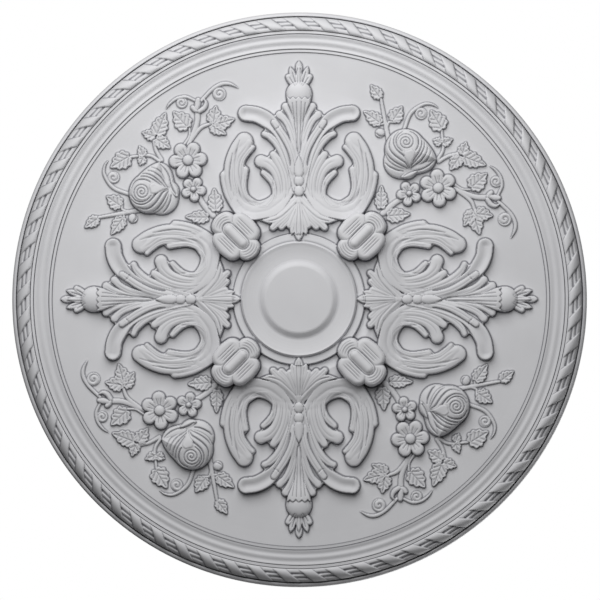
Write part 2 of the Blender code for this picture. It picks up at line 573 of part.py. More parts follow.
def turned_blank(collection):
    """The plain turned body, as a mesh of fine rings."""
    rows = ring_points()
    mesh = bpy.data.meshes.new("blank_profile")
    mesh.from_pydata([(radius, 0.0, -drop) for radius, drop in rows],
                     [(index, index + 1) for index in range(len(rows) - 1)], [])
    blank = bpy.data.objects.new("blank_profile", mesh)
    collection.objects.link(blank)
    turn = blank.modifiers.new("turn", "SCREW")
    turn.steps = turn.render_steps = ROPE_WRAPS * STEPS_PER_WRAP
    turn.use_merge_vertices = True
    turn.merge_threshold = 0.00005
    body = bpy.data.meshes.new_from_object(blank.evaluated_get(bpy.context.evaluated_depsgraph_get()))
    bpy.data.objects.remove(blank)
    bpy.data.meshes.remove(mesh)
    return body


def carve(mesh):
    """Carve the face of the turned body: sprays, arms, clasps and rope."""
    places = np.empty(len(mesh.vertices) * 3)
    mesh.vertices.foreach_get("co", places)
    places = places.reshape(-1, 3)
    carved = np.nonzero((places[:, 2] < -0.5 * EDGE_DROP)
                        & (np.hypot(places[:, 0], places[:, 1]) < 0.5 * ROSE_DIAMETER - LIP_WIDTH))[0]
    face = Face(places[carved, 0], -places[carved, 1], -places[carved, 2])
    for quarter in range(ARMS):
        carve_spray(face, quarter * QUARTER)
        carve_arm(face, quarter * QUARTER)
    for quarter in range(ARMS):
        carve_clasp(face, (quarter + 0.5) * QUARTER)
    carve_rope(face)
    places[carved, 2] = -face.drop
    mesh.vertices.foreach_set("co", places.ravel())
    mesh.update()


def primer_material():
    """White factory primer on the moulding."""
    material = bpy.data.materials.new("white_primer")
    material.use_nodes = True
    shader = material.node_tree.nodes["Principled BSDF"]
    shader.inputs["Base Color"].default_value = WHITE
    shader.inputs["Roughness"].default_value = PRIMER_ROUGHNESS
    shader.inputs["Metallic"].default_value = 0.0
    return material


def build_ceiling_rose():
    """The whole rose as one object, thinned to plain facets."""
    for old in list(bpy.data.objects):
        bpy.data.objects.remove(old)
    collection = bpy.data.collections.new("ceiling_rose")
    bpy.context.scene.collection.children.link(collection)
    mesh = turned_blank(collection)
    carve(mesh)
    mesh.name = "ceiling_rose"
    mesh.shade_smooth()
    rose = bpy.data.objects.new("ceiling_rose", mesh)
    rose.data.materials.append(primer_material())
    collection.objects.link(rose)
    places = np.empty(len(mesh.vertices) * 3)
    mesh.vertices.foreach_get("co", places)
    radius = np.hypot(places[0::3], places[1::3])
    rim = rose.vertex_groups.new(name="rim")
    rim.add(np.nonzero(radius > rope_middle() - 0.5 * ROPE_WIDTH)[0].tolist(), RIM_WEIGHT, "REPLACE")
    thin = rose.modifiers.new("facets", "DECIMATE")
    thin.ratio = FACET_COUNT / sum(len(polygon.vertices) - 2 for polygon in mesh.polygons)
    thin.vertex_group = rim.name
    thin.invert_vertex_group = True
    thin.vertex_group_factor = RIM_STRENGTH
    return rose


build_ceiling_rose()
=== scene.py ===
"""Dress the ceiling rose: turned body, rope, acanthus arms, clasps and flower sprays.

The face is a relief: every ornament is a patch of fine grid, lifted from the turned body by the
same plans as the solid's, with finer veins, grooves and folds. Plans are drawn in the view from
below, x to the right and y up, so world Y is minus the plan's y. Heights are drops below the ceiling.
"""
import math

import bmesh
import bpy
import numpy as np
from mathutils import Matrix, Vector


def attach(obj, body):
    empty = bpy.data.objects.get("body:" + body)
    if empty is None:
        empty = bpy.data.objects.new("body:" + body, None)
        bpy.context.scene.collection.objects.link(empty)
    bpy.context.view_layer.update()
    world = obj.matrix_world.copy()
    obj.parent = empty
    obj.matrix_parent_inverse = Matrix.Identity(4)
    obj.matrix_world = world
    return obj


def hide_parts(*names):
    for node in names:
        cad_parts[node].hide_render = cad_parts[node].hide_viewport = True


bl_info = {
    "name": "Ceiling Rose",
    "version": (1, 0, 0),
    "blender": (4, 5, 0),
    "location": "View3D > Sidebar > Rose",
    "description": "Builds the fine relief of a moulded ceiling rose and a plain studio round it",
    "category": "Object",
}

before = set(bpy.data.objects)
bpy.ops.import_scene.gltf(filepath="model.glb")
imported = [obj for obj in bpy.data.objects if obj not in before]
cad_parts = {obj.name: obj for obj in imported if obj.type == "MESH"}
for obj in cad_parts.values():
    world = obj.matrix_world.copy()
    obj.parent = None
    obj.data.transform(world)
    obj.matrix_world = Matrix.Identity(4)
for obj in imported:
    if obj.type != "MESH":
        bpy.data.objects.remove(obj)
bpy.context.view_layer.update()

NODE = "ceiling_rose"

# Overall
ROSE_DIAMETER = 0.829
FIELD_DROP = 0.015

# Rim, from the outside inwards
EDGE_DROP = 0.013
LIP_WIDTH = 0.0056
LIP_DROP = 0.018
CHANNEL_WIDTH = 0.0018
CHANNEL_DROP = 0.012
ROPE_WIDTH = 0.0196
ROPE_DROP = 0.032
ROPE_OUTER_DROP = 0.018
ROPE_INNER_DROP = 0.0270
ROPE_WRAPS = 65
RIBBON_SHARE = 0.55
FILLET_WIDTH = 0.0042
FILLET_DROP = 0.0268
QUIRK_WIDTH = 0.0016
QUIRK_DEPTH = 0.0030
MOULDING_WIDTH = 0.0205
MOULDING_OUTER_DROP = 0.0266
MOULDING_INNER_DROP = 0.0246
MOULDING_WAVE = 0.0013
BORDER_WIDTH = 0.0058
BORDER_DROP = 0.0230
FIELD_EDGE_DROP = 0.0212
DISH_WIDTH = 0.120
BEVEL = 0.0008
LIP_STEP = 0.0006
ROPE_GAP = 0.0002
FILLET_STEP = 0.003
BORDER_STEP = 0.0015
BORDER_OUTER_SLOPE = (0.0006, 0.0013)
BORDER_INNER_SLOPE = (0.0010, 0.0004)
CHANNEL_WALL = 0.4
WAVE_STEPS = 16

# Boss in the middle, with the flat seat for a light fitting
SEAT_RADIUS = 0.0470
SEAT_DROP = 0.0370
DISH_DROP = 0.0310
RING_RADIUS = 0.0808
RING_DROP = 0.0345
RING_WIDTH = 0.0034
COLLAR_DROP = 0.0290
COLLAR_WIDTH = 0.0100
HOLLOW_DROP = 0.0215
HOLLOW_WIDTH = 0.0150
SHOULDER_DROP = 0.0240
SHOULDER_WIDTH = 0.0500
COLLAR_STEP = 0.001
RING_STEP = 0.002
RING_SLOPE = 0.0012

# Carving: reaches, rises and drops of the ornaments, and the shape of a finger
ARM_REACH = 0.343
ARM_RISE = 0.0120
CLASP_PLACE = 0.1275
CLASP_LENGTH = 0.0823
CLASP_DROP = 0.0510
SPRAY_REACH = 0.326
SPRAY_RISE = 0.0045
STEM_HEIGHTS = (0.75 * SPRAY_RISE, 0.3 * SPRAY_RISE)
BUD_HEIGHTS = (1.3 * SPRAY_RISE, 0.6 * SPRAY_RISE)
FLOWER_RISE = 0.0110
SMALL_FLOWER_RISE = 0.0099
EYE_RISE = 0.0035
ROSE_RISE = 0.0230
LEAF_RIB_DEPTH = 0.0014
WALL_WIDTH = 0.0018
WALL_START = 0.3
FINGER_BLEND = 0.0010
FINGER_ROUND = 2.6
HUSK_BLEND = 0.0006
CROWN_BLEND = 0.0004
CROWN_RISE = 0.0090
TROUGH_DEPTH = 0.0024
TROUGH_REACH = 0.8
TROUGH_FADE = 0.3

# Edge of a patch: how it starts in the body and fades out round its forms
SUNK = 0.0012
SKIRT_RISE = 0.00012
SKIRT_WIDTH = 0.0022
SKIRT_FADE = 0.08
SKIRT_END = 0.002
UNDERSIDE = 0.008
BOX_MARGIN = 3.0

# Clasp: heights in metres, places and widths in plan units
CLASP_BEAD_RISE = 0.0035
CLASP_GROOVE_START = 4.2
CLASP_GROOVE_PITCH = 2.7
CLASP_GROOVE_DEPTH = 0.0011
CLASP_CORNER = (5.0, 40.0, 18.0)
CLASP_GROOVE_END = 10.9
CUSHION_ROUND = 5.0
CUSHION_FOOT = 0.62
CUSHION_FADE = 2.0
BEAD_LINE_DEPTH = 0.0016
BEAD_LINE_WIDTH = 1.3
BEAD_SUNK = 0.004

# How sharp the grooves of the clasps and the coil of the rose are
LINE_POWER = 3

# Leaf: shares of its size, then its rim, rib and veins in plan units
LEAF_MIDDLE = 0.40
LEAF_BREADTH = 0.58
LEAF_POINT = 1.35
LEAF_HEEL = 2.3
LEAF_TOOTH = 0.17
LEAF_TEETH = 9
LEAF_TOOTH_POWER = 1.5
LEAF_SLOPE = 0.85
LEAF_RIM = 1.6
LEAF_RIB_WIDTH = 0.6
LEAF_RIB_END = 0.85
LEAF_CURL = 0.0008
LEAF_CURL_WIDTH = 0.8
LEAF_VEIN_PITCH = 4.8
LEAF_VEIN_LEAN = 0.8
LEAF_VEIN_WIDTH = 0.17
LEAF_VEIN_END = 0.55
LEAF_VEIN_SHARE = 0.7

# Petal: depths in metres, the rest as shares of its length or half width
PETAL_CREASE = 0.0012
PETAL_CREASE_WIDTH = 0.11
PETAL_MIDDLE_WIDTH = 0.09
PETAL_SPREAD = 0.36
PETAL_LINE_START = 0.3
PETAL_LINE_GROWTH = 0.2
PETAL_LINE_END = 1.15
PETAL_LINE_FADE = 0.3
PETAL_START = 0.3
PETAL_WAIST = 0.72
PETAL_ROUND = 5
PETAL_EDGE = 0.0026
PETAL_SINK = 0.0034

# Rose: depths in metres, places in plan units
ROSE_LINE_DEPTH = 0.0030
ROSE_LINE_BLUR = 0.8
ROSE_COIL_PITCH = 3.2
ROSE_COIL_DEPTH = 0.0020
ROSE_BILL_RISE = 0.0012
ROSE_BILL_LAP = 0.6
ROSE_BILL_WALL = 1.2
ROSE_FOOT = 0.30
ROSE_BACK_ROUND = 0.004
ROSE_BACK_FOOT = 0.5

# Arm: the vein of each finger, the webs between fingers and the cup's scalloped edge
VEIN_DEPTH = 0.0006
VEIN_PLACE = 0.15
VEIN_WIDTH = 0.16
VEIN_FADE = 0.125
GAP_LEAST = 0.0035
GAP_SPREAD = 0.12
GAP_REACH = 0.0025
GAP_SINK = 0.0030
GAP_SLOPE = 2.0
GAP_START = 0.6
GAP_TINY = 1e-3
ARM_GAPS_FROM = 84.0
ARM_GAPS_TO = 196.0
CUP_EDGE = 199.6
CUP_SCALLOP = 2.4
CUP_PITCH = 6.0
CUP_DEPTH = 0.0012
CUP_WALL = 0.8
CUP_ROUND = 0.003

# Rope: the ribbon, and the three reeds under it
RIBBON_EDGE = 0.05
RIBBON_LEAN = 0.60
RIBBON_STEP = 0.0032
RIBBON_SWELL = 0.0012
REED_CUT = 0.0036
REED_PLACE = 0.30
REED_GROOVE = 0.13
REED_FADE = 0.65

# Turned body and meshes
BODY_RING = 0.0008
LIP_ROUND = 0.6
SEAT_SOFT = 0.0105
WRAP_STEPS = 30
WRAP_ROWS = 24
WELD = 0.00002
MERGE = 0.00005
# Painted shade in the creases, as (reach of the surroundings, depth that counts as full, weight)
CREASE_SHADE_REACHES = ((0.0010, 0.0006, 0.75), (0.0030, 0.0080, 0.25))
SHARP_ANGLE = 38.0

# Primer: noise detail and roughness, the range of the clouds, and the strength of the grain
CLOUD_NOISE = {"Detail": 3.0, "Roughness": 0.55}
CLOUD_RANGE = {"From Min": 0.35, "From Max": 0.65}
GRAIN_NOISE = {"Detail": 2.0, "Roughness": 0.6}
GRAIN_STRENGTH = 0.25

# Sockets of the colour mixing node, by number because they share their names
MIX_FIRST = 6
MIX_SECOND = 7
MIX_COLOUR = 2

# Studio
WHITE = (1.0, 1.0, 1.0, 1.0)
BACKGROUND = 1.0
FLOOR_SIZE = 5.0
FLOOR_DEPTH = 5.6
FLOOR_COLOUR = (0.82, 0.82, 0.82, 1.0)
FLOOR_ROUGHNESS = 0.9
KEY_AZIMUTH = math.radians(100.0)
KEY_HEIGHT = math.radians(52.0)
KEY_DISTANCE = 1.5
KEY_SIZE = 1.5
BACK_POWER = 75.0
BACK_SIZE = 2.0
BACK_PLACE = (1.2, 1.6, 1.8)
LOOK_AT = (0.0016, 0.0012, -ROPE_INNER_DROP)
CAMERA_RIGHT = math.radians(1.2)
CAMERA_DOWN = math.radians(1.2)

# Plans: the arm is drawn 238 units long, the spray 226 units from the middle, the clasp 57 long
ARM_UNIT = ARM_REACH / 238.0
SPRAY_UNIT = SPRAY_REACH / 226.0
CLASP_UNIT = CLASP_LENGTH / 57.0
ARMS = 4
QUARTER = 2.0 * math.pi / ARMS

# The box that each ornament is carved in, two corners in metres
ARM_BOX = ((-0.118, 0.076), (0.118, 0.350))
CLASP_BOX = ((0.038, 0.038), (0.142, 0.142))
SPRAY_BOX = ((-0.318, 0.088), (-0.078, 0.322))

# Arm, drawn pointing up with its left half alone: (x, y, half width) along each finger, in plan units.
# The numbers after a route are the share of the arm's rise, the roundness and how early it fades.
LEAF_FINGERS = (
    (((-6, 131, 3), (-8, 116, 5), (-13.5, 104.5, 7), (-22, 97, 9), (-30, 91.5, 9.6), (-39, 89, 9.6),
      (-47, 89.2, 10.6), (-54, 92.2, 11.6), (-60, 98, 8.5)), 0.84, 0.0008, 0),
    (((-24.8, 176.8, 3.6), (-20, 170, 3.8), (-14, 161, 4), (-9, 150.5, 3.5), (-6, 140, 3),
      (-4, 129, 2)), 1.02, 0.0018, 0.4),
    (((-34.6, 165.3, 3.2), (-29, 162.5, 3.6), (-22.5, 156, 4), (-17, 147, 4), (-13, 136.5, 3.5),
      (-10, 125.5, 3), (-8.5, 114, 2.5)), 0.78, 0.0022, 0.4),
    (((-25.5, 144.5, 4), (-20.5, 137, 4.5), (-16, 127, 4), (-13.5, 115, 4), (-14, 103, 4),
      (-18.5, 92, 4), (-26, 83.5, 4)), 0.80, 0.0022, 0.6),
    (((-38, 138, 6.5), (-30.5, 135, 6), (-24, 128, 5), (-20, 117, 4), (-19, 106, 3.5),
      (-21.5, 96.5, 3.5), (-28, 89, 3.5)), 0.80, 0.0024, 0.6),
    (((-35.5, 126.5, 3), (-30, 121.5, 3.5), (-26, 115, 3), (-24.5, 106, 2.5), (-26.5, 98.5, 2.5),
      (-31.5, 93.5, 2)), 0.80, 0.0018, 0),
    (((-54.8, 158.6, 8.4), (-62.5, 150, 6.8), (-68.5, 137.5, 5.5), (-70, 125.5, 5), (-68, 112.5, 4.5),
      (-64, 99.5, 4.5), (-59, 89, 4.5)), 0.82, 0.0022, 0.5),
    (((-51, 157, 4.8), (-55.5, 150, 4.8), (-61.5, 141, 4.5), (-63.5, 130, 4), (-63, 119, 4),
      (-60.5, 107.5, 4), (-56, 96.5, 4), (-49, 88, 3.5)), 0.84, 0.0022, 0.5),
    (((-46, 152, 2.5), (-51, 147, 3), (-56, 139.5, 3), (-58, 130.5, 3), (-58, 120.5, 3),
      (-57.5, 111.5, 3)), 0.80, 0.0020, 0.5),
    (((-53.5, 129.5, 3.5), (-54.5, 121.5, 3), (-55.2, 112.5, 2.9), (-53, 104.5, 2.6), (-48.5, 97.5, 2),
      (-40, 93.5, 2), (-31.5, 93.5, 2)), 0.80, 0.0018, 0),
    (((-75, 124, 4), (-74, 116, 4), (-71, 105, 4), (-66.5, 95.5, 3.5), (-63, 89, 2.5)),
     0.74, 0.0022, 0.4),
    (((-13.3, 192.8, 4.1), (-9, 185.5, 3.6), (-5, 174.5, 3), (-2.5, 161.5, 2.5), (-1.5, 148.5, 1.5)),
     0.74, 0.0020, 0.3),
    (((-19.2, 184.6, 4.1), (-13.5, 178.5, 3.6), (-8.5, 169, 3.5), (-5, 157, 3), (-3.5, 144, 2.5),
      (-3, 131, 2), (-3.5, 118, 2), (-4, 107.5, 1.5)), 0.76, 0.0020, 0.3),
    (((-6.5, 198.5, 4.5), (-3.5, 187.5, 4), (-1.5, 174.5, 3)), 0.74, 0.0010, 0.6),
    (((0, 197.5, 4), (0, 183, 3.5), (0, 168, 2.5), (0, 151.5, 1.5), (0, 143, 1)), 0.80, 0.0018, 0.3),
    (((0, 161.5, 4.5), (0, 146.5, 7), (0, 130, 8.5), (0, 116, 8), (0, 105, 5.5)), 0.72, 0.0005, 0),
)
LONG_FINGER = ((-53, 186, 8), (-42.5, 184.5, 8), (-32.5, 179.5, 8), (-24, 172, 6.5), (-17, 161.5, 5.5),
               (-11.5, 148.5, 5), (-8.5, 135.5, 4), (-6, 122.5, 3.5), (-4.5, 109.5, 2.5))
HUSK_FINGERS = (
    (((0, 104, 5), (0, 97, 8.6), (-8, 89, 8.8), (-14, 82, 8), (-20, 78.5, 5.5)), 0.66, 0, 0),
    (((-2, 100, 1.5), (-10, 90, 2.8), (-19, 82.5, 3.4), (-28, 78.8, 3.6), (-38.5, 78.8, 0.3)),
     0.86, 0.0010, 0),
    (((-1.5, 100, 1.5), (-8, 90, 3.2), (-15, 81.5, 4), (-21.5, 75.8, 4), (-25.8, 71.4, 3.5)),
     0.76, 0.0018, 0),
    (((-1, 100, 1.5), (-6, 88, 3.2), (-11, 79.5, 3.8), (-15.5, 74.5, 3.8), (-17.4, 72.2, 3.5)),
     0.70, 0.0018, 0),
    (((0, 100, 2.5), (-4, 88, 3.4), (-7.4, 79, 4), (-9, 73.8, 3.8)), 0.70, 0.0022, 0),
    (((-1, 92, 2), (-3.6, 79, 3.4), (-6, 69.5, 3.3), (-7, 65.6, 1.4)), 0.74, 0.0016, 0),
    (((0, 103, 2.5), (0, 90, 3.4), (0, 79, 4.4), (0, 71.5, 5), (0, 65, 4.4), (0, 60.8, 2.4),
      (0, 58.2, 0.4)), 0.84, 0.0016, 0),
)
HUSK_LINES = (
    ((-0.9, 96, 0.2), (-1.8, 82, 0.4), (-2.4, 70, 0.4), (-1.6, 63, 0.2)),
    ((-3, 96, 0.2), (-12, 86.5, 0.4), (-20, 80.4, 0.4), (-30, 77.6, 0.2)),
)
CROWN_FINGERS = (
    (((0, 238.5, 0.3), (0, 233, 3.6), (0, 226, 2.5)), 0.48, 0.0016, 0),
    (((-8.7, 232.8, 0.3), (-7, 226.5, 3.2), (-3.5, 216, 2.6)), 0.56, 0.0020, 0),
    (((-10.6, 222.4, 3.1), (-8.5, 219, 3.4), (-4, 212.5, 2.8)), 0.66, 0.0020, 0),
    (((0, 231.5, 0.3), (0, 223.5, 3.4), (0, 213, 2.6)), 0.72, 0.0024, 0),
)
ARM_BEADS = (
    ((0, 143.5, 0.5), (0, 136, 4), (0, 129, 5.3), (0, 125.4, 4.4)),
    ((0, 119, 5.1), (0, 117.6, 5.1)),
    ((0, 109, 5.1), (0, 107.4, 5.1)),
)
ARM_BEAD_RISE = 0.0150
ARM_BEAD_FOOT = 0.0104
VOLUTE = ((-25.5, 122, 0.2), (-26.5, 112, 1.6), (-30.5, 103, 2.4), (-37, 97.2, 2.8), (-45, 95.4, 3),
          (-53, 98, 2.8), (-58.6, 105, 2), (-60.6, 114, 0.3))
VOLUTE_DEPTH = 0.0016
VOLUTE_SLOPE = 0.35
VOLUTE_START = 0.2
ARM_LINES = (
    ((-24.5, 169.3, 0.3), (-21.5, 170.8, 0.5), (-18.8, 173.8, 0.3)),
    ((-59.3, 159, 0.3), (-62.2, 149, 0.9), (-64.2, 136, 1.1), (-64.4, 122, 0.9), (-62, 106, 0.3)),
    ((-66.5, 146, 0.2), (-68.5, 134, 0.5), (-69.5, 122, 0.5), (-67.5, 108, 0.2)),
    ((-2.4, 197, 0.2), (-2, 180, 0.4), (-1.2, 160, 0.3), (-0.6, 146, 0.2)),
    ((-6.5, 196, 0.2), (-5, 182, 0.4), (-3, 165, 0.4), (-1.6, 148, 0.2)),
    ((-1.6, 231, 0.2), (-1.7, 225, 0.5), (-1.2, 216, 0.3)),
    ((-6.6, 227, 0.2), (-5, 221, 0.5), (-2.6, 214.5, 0.2)),
    ((-8.8, 221.5, 0.2), (-6.6, 217.5, 0.4), (-4, 213.5, 0.2)),
)
ARM_LINE_DEPTH = 0.0012
HUSK_LINE_DEPTH = 0.0010
CUP_ROUTE = ((0, 200.5, 12.3), (0, 193, 9.4), (0, 184, 6.5), (0, 172, 3.5))
CUP_LOW = 0.0112
ARM_BALL = ((0, 205.5, 13), (0, 205, 13))
ARM_BALL_RISE = 0.0165
ARM_BALL_FOOT = 0.005

# Clasp, drawn pointing up: the side and end cushions, then the long bead in its middle
CLASP_CUSHIONS = (
    ((-12.5, -7.5, 10), (-13.5, 0, 10), (-12.5, 7.5, 10)),
    ((12.5, -7.5, 10), (13.5, 0, 10), (12.5, 7.5, 10)),
    ((-4, 18, 9.5), (0, 18.5, 10), (4, 18, 9.5)),
    ((-3.5, -18, 9), (0, -18.5, 9.5), (3.5, -18, 9)),
    ((0, -10, 11), (0, 10, 11)),
)
CLASP_BEAD = ((0, -9.5, 5.3), (0, 9.5, 5.3))
CLASP_REACH = ((0, -20, 22), (0, 20, 22))

# Spray in the upper left quarter of the face: leaves as (base, tip, width), stems and tendrils as
# routes, all from the middle of the rose
SPRAY_LEAVES = (
    ((-143, 162.5), (-133.5, 187), 15), ((-143, 162.5), (-157.5, 167), 11),
    ((-144, 161.5), (-128.5, 151), 13), ((-155, 142), (-160, 154), 9), ((-155.5, 143), (-159.5, 133.5), 9),
    ((-168.5, 144), (-189, 131.5), 17), ((-110, 170.5), (-126, 188), 17),
    ((-86, 174.5), (-83, 194), 14), ((-86, 174), (-64, 180.5), 14), ((-89, 175), (-72.5, 164.5), 12),
    ((-177, 92.5), (-193, 103.5), 14), ((-200, 82), (-214.5, 71.5), 11), ((-175, 83), (-188, 64.5), 13),
    ((-83, 86.5), (-85, 111.5), 14), ((-89, 82), (-114, 82.5), 12),
)
SPRAY_STEMS = (
    ((-145.5, 159, 1.8), (-143, 149, 2), (-137.5, 139.5, 2.2)),
    ((-168.5, 142.5, 1.6), (-150, 144, 1.8), (-139.5, 138.5, 2)),
    ((-109.5, 171, 1.2), (-110, 163, 1.4), (-114.5, 155.5, 1.6)),
    ((-101.5, 188, 3), (-102.6, 174.5, 2.8), (-110.5, 155, 2.4)),
    ((-88, 176, 1.7), (-98.5, 171.5, 2.2), (-108, 160, 2.4)),
    ((-177, 94, 1.4), (-177, 90, 1.5), (-172, 88, 1.5)),
    ((-156, 90, 2.6), (-175, 86.5, 2.3), (-200, 82, 1.7)),
    ((-176, 86, 1.4), (-175, 82, 1.4)),
    ((-101, 104, 2.8), (-95, 94, 3), (-86, 84, 3.2)),
    ((-104.5, 199, 1.5), (-113, 202.5, 1.8), (-122, 201, 1.8), (-129, 196, 1.4), (-133.3, 190, 0.4)),
    ((-97.5, 199, 1.9), (-86.5, 210.3, 2), (-77, 215.5, 2.1), (-69, 215.4, 1.8), (-60.3, 211.2, 0.3)),
    ((-168, 104.5, 2), (-185.5, 111.5, 2.1), (-194.5, 124, 1.8), (-194.5, 133, 1.3), (-191, 139, 0.5)),
)
SPRAY_CURLS = ((-117.3, 196.6, 5.8, 1), (-79.7, 205.4, 6.9, -1), (-185.5, 122, 6.2, 1))
CURL_TURNS = 1.5
CURL_FOOT = 0.2
CURL_ROUND = 0.6
SPRAY_BUDS = (
    ((-166.2, 81.2, 4.7), (-166.2, 80.8, 4.7)),
    ((-106.2, 191.8, 2.6), (-104.6, 189.6, 2.5), (-102.5, 188.4, 2)),
    ((-101, 199.4, 2.6), (-101.4, 195.5, 3.3), (-102.2, 191.2, 2.4)),
    ((-94.8, 200, 0.8), (-93, 196.2, 2), (-94.8, 191.6, 2.7), (-99.5, 188.2, 2.6)),
)
SIX_PETALS = (-111, 139, 12.4, 6.7, 6, 65)
FIVE_PETALS = (-105.5, 110, 7.8, 4.9, 5, 62)
FLOWER_EYES = ((-111, 139, 5.5), (-105.5, 110, 3))
ROSE_BACK_PETALS = (
    (((-137.6, 101.6, 17), (-137.4, 101.6, 17)), 0.42),
    (((-139.6, 137, 0.5), (-135.5, 127, 7.5), (-132, 116, 7.5)), 0.36),
    (((-127.5, 118, 1.2), (-124.4, 110, 4.4), (-122.2, 103.5, 2)), 0.44),
)
ROSE_BULB = (
    ((-149.5, 106.3, 20.6), (-149.4, 106.3, 20.6)),
    ((-139.2, 137.3, 0.3), (-143, 129.5, 6.5), (-146.5, 120, 12.5), (-148.5, 112, 17)),
)
ROSE_ROUND = 17.0
ROSE_EYE = (-156.6, 106.9)
ROSE_EYE_RADIUS = 9.2
ROSE_BILL = ((-131.8, 111, 0.3), (-138, 110.7, 2.8), (-144, 110.4, 5.6))
ROSE_LINES = (
    ((-147.5, 132.2, 0.1), (-139.3, 128.4, 0.5), (-133.6, 122, 0.8), (-129.9, 115.5, 0.8),
     (-129.3, 107, 0.7), (-131.4, 97.5, 0.8), (-138.2, 86.5, 0.8)),
    ((-151, 128.6, 0.1), (-145.2, 127, 0.3), (-138.3, 122.3, 0.5), (-133.7, 116.2, 0.6),
     (-131, 112, 0.4)),
    ((-156, 125.4, 0.1), (-150.8, 124.9, 0.3), (-144.1, 121.7, 0.5), (-138.3, 117, 0.5),
     (-133.4, 112.4, 0.3)),
    ((-158, 122.6, 0.1), (-153.2, 122.4, 0.3), (-147.4, 120.4, 0.5), (-141.6, 116.9, 0.5),
     (-137, 113.9, 0.2)),
    ((-167, 111, 0.1), (-165.2, 115.2, 0.4), (-161.8, 118.4, 0.5), (-157.2, 119.5, 0.5),
     (-151.6, 118.6, 0.4), (-148, 116.6, 0.2)),
    ((-131, 110.3, 0.3), (-137.4, 108.9, 0.6), (-142.2, 105, 0.8), (-145.8, 100.6, 0.8),
     (-149.9, 96.8, 0.7), (-155.8, 94.4, 0.6), (-162.4, 95.5, 0.5), (-167.4, 99.8, 0.1)),
    ((-130.6, 109.6, 0.3), (-135.6, 106.2, 0.7), (-139.1, 101, 0.8), (-143.3, 95.4, 0.8),
     (-148.3, 91.2, 0.7), (-154.1, 89.8, 0.5), (-160.8, 91.5, 0.1)),
    ((-130.4, 108.2, 0.2), (-133, 102.3, 0.5), (-136.8, 95.7, 0.6), (-141.4, 90.2, 0.5),
     (-146.4, 87, 0.1)),
    ((-167.2, 103.4, 0.1), (-163, 98.6, 0.4), (-157.4, 96.9, 0.5), (-151.4, 98.6, 0.4), (-147.2, 103, 0.2)),
)
ROSE_BACK_LINES = (
    ((-163.4, 85, 0.2), (-163, 80.8, 0.6), (-166, 76.8, 0.3)),
    ((-127.6, 104, 0.2), (-128.6, 98, 0.6), (-132.2, 90.5, 0.6), (-135.6, 86.6, 0.2)),
    ((-138, 134.5, 0.2), (-133, 129, 0.4), (-129.6, 122.5, 0.4), (-128.2, 115.5, 0.4)),
    ((-128.3, 116.5, 0.3), (-126.3, 110, 0.7), (-123, 104.8, 0.5)),
)


def eased(share):
    """Smooth step from 0 to 1."""
    share = np.clip(share, 0.0, 1.0)
    return share * share * (3.0 - 2.0 * share)


def bump(value, width):
    """Soft ridge of height 1 round 0."""
    return np.exp(-(value / width) ** 2)


def smooth_route(route, pieces=6):
    """Points along a curve through the route's own points, with the half width carried along."""
    own = np.array(route, float)
    ends = np.vstack([2 * own[0] - own[1], own, 2 * own[-1] - own[-2]])
    rows = []
    for before, start, end, after in zip(ends, ends[1:], ends[2:], ends[3:]):
        for step in np.arange(pieces) / pieces:
            rows.append(0.5 * (2 * start + (end - before) * step
                               + (2 * before - 5 * start + 4 * end - after) * step ** 2
                               + (3 * start - before - 3 * end + after) * step ** 3))
    rows.append(own[-1])
    rows = np.array(rows)
    rows[:, 2] = np.maximum(rows[:, 2], 0.0)
    return rows


def swept(x, y, route):
    """Depth inside a route's row of discs, signed share of its half width and share of its length."""
    rows = smooth_route(route)
    lengths = np.hypot(*np.diff(rows[:, :2], axis=0).T)
    reached = np.concatenate([[0.0], np.cumsum(lengths)])
    depth = np.full(x.shape, -1e9)
    side = np.zeros(x.shape)
    along = np.zeros(x.shape)
    for index, (start, end) in enumerate(zip(rows, rows[1:])):
        dx, dy, dw = end - start
        share = ((x - start[0]) * dx + (y - start[1]) * dy) / (dx * dx + dy * dy + 1e-9)
        share = np.clip(share, 0.0, 1.0)
        away_x, away_y = x - start[0] - share * dx, y - start[1] - share * dy
        away = np.hypot(away_x, away_y)
        half = start[2] + share * dw
        inside = half - away
        better = inside > depth
        hand = np.sign(dx * away_y - dy * away_x)
        depth = np.where(better, inside, depth)
        side = np.where(better, hand * away / np.maximum(half, 1e-6), side)
        along = np.where(better, (reached[index] + share * lengths[index]) / reached[-1], along)
    return depth, side, along


class Face:
    """A patch of the carved face: each point's place and its drop below the ceiling, in metres.

    It starts a little sunk in the turned body, and each ornament is lifted out of that."""

    def __init__(self, x, y, body_drop, shape, spacing):
        self.shape = shape
        self.spacing = spacing
        self.x = x
        self.y = y
        self.base = body_drop - SUNK
        self.drop = self.base.copy()
        radius = np.hypot(x, y)
        swell = np.where(radius > collar_radius(), swell_drop(radius), 0.0)
        self.ground = np.maximum(body_drop, swell)

    def plan(self, turn, unit, folded=False):
        """The points turned into an ornament's own plan, in its units."""
        x = (self.x * math.cos(turn) + self.y * math.sin(turn)) / unit
        y = (self.y * math.cos(turn) - self.x * math.sin(turn)) / unit
        return (-np.abs(x), y) if folded else (x, y)

    def lift(self, spots, wall, rise):
        """Lift points by a rise above the ground, where wall goes from 0 outside to 1 inside."""
        ground, base = self.ground[spots], self.base[spots]
        drop = base + wall * (ground + rise - base)
        self.drop[spots] = np.maximum(self.drop[spots], drop)


def blurred(values, reach):
    """A grid of values averaged over a square of 2 reach + 1 points."""
    for axis in (0, 1):
        padded = np.pad(values, [(reach + 1, reach) if side == axis else (0, 0) for side in (0, 1)], "edge")
        sums = np.cumsum(padded, axis=axis)
        if axis == 0:
            values = (sums[2 * reach + 1:] - sums[:-2 * reach - 1]) / (2 * reach + 1)
        else:
            values = (sums[:, 2 * reach + 1:] - sums[:, :-2 * reach - 1]) / (2 * reach + 1)
    return values


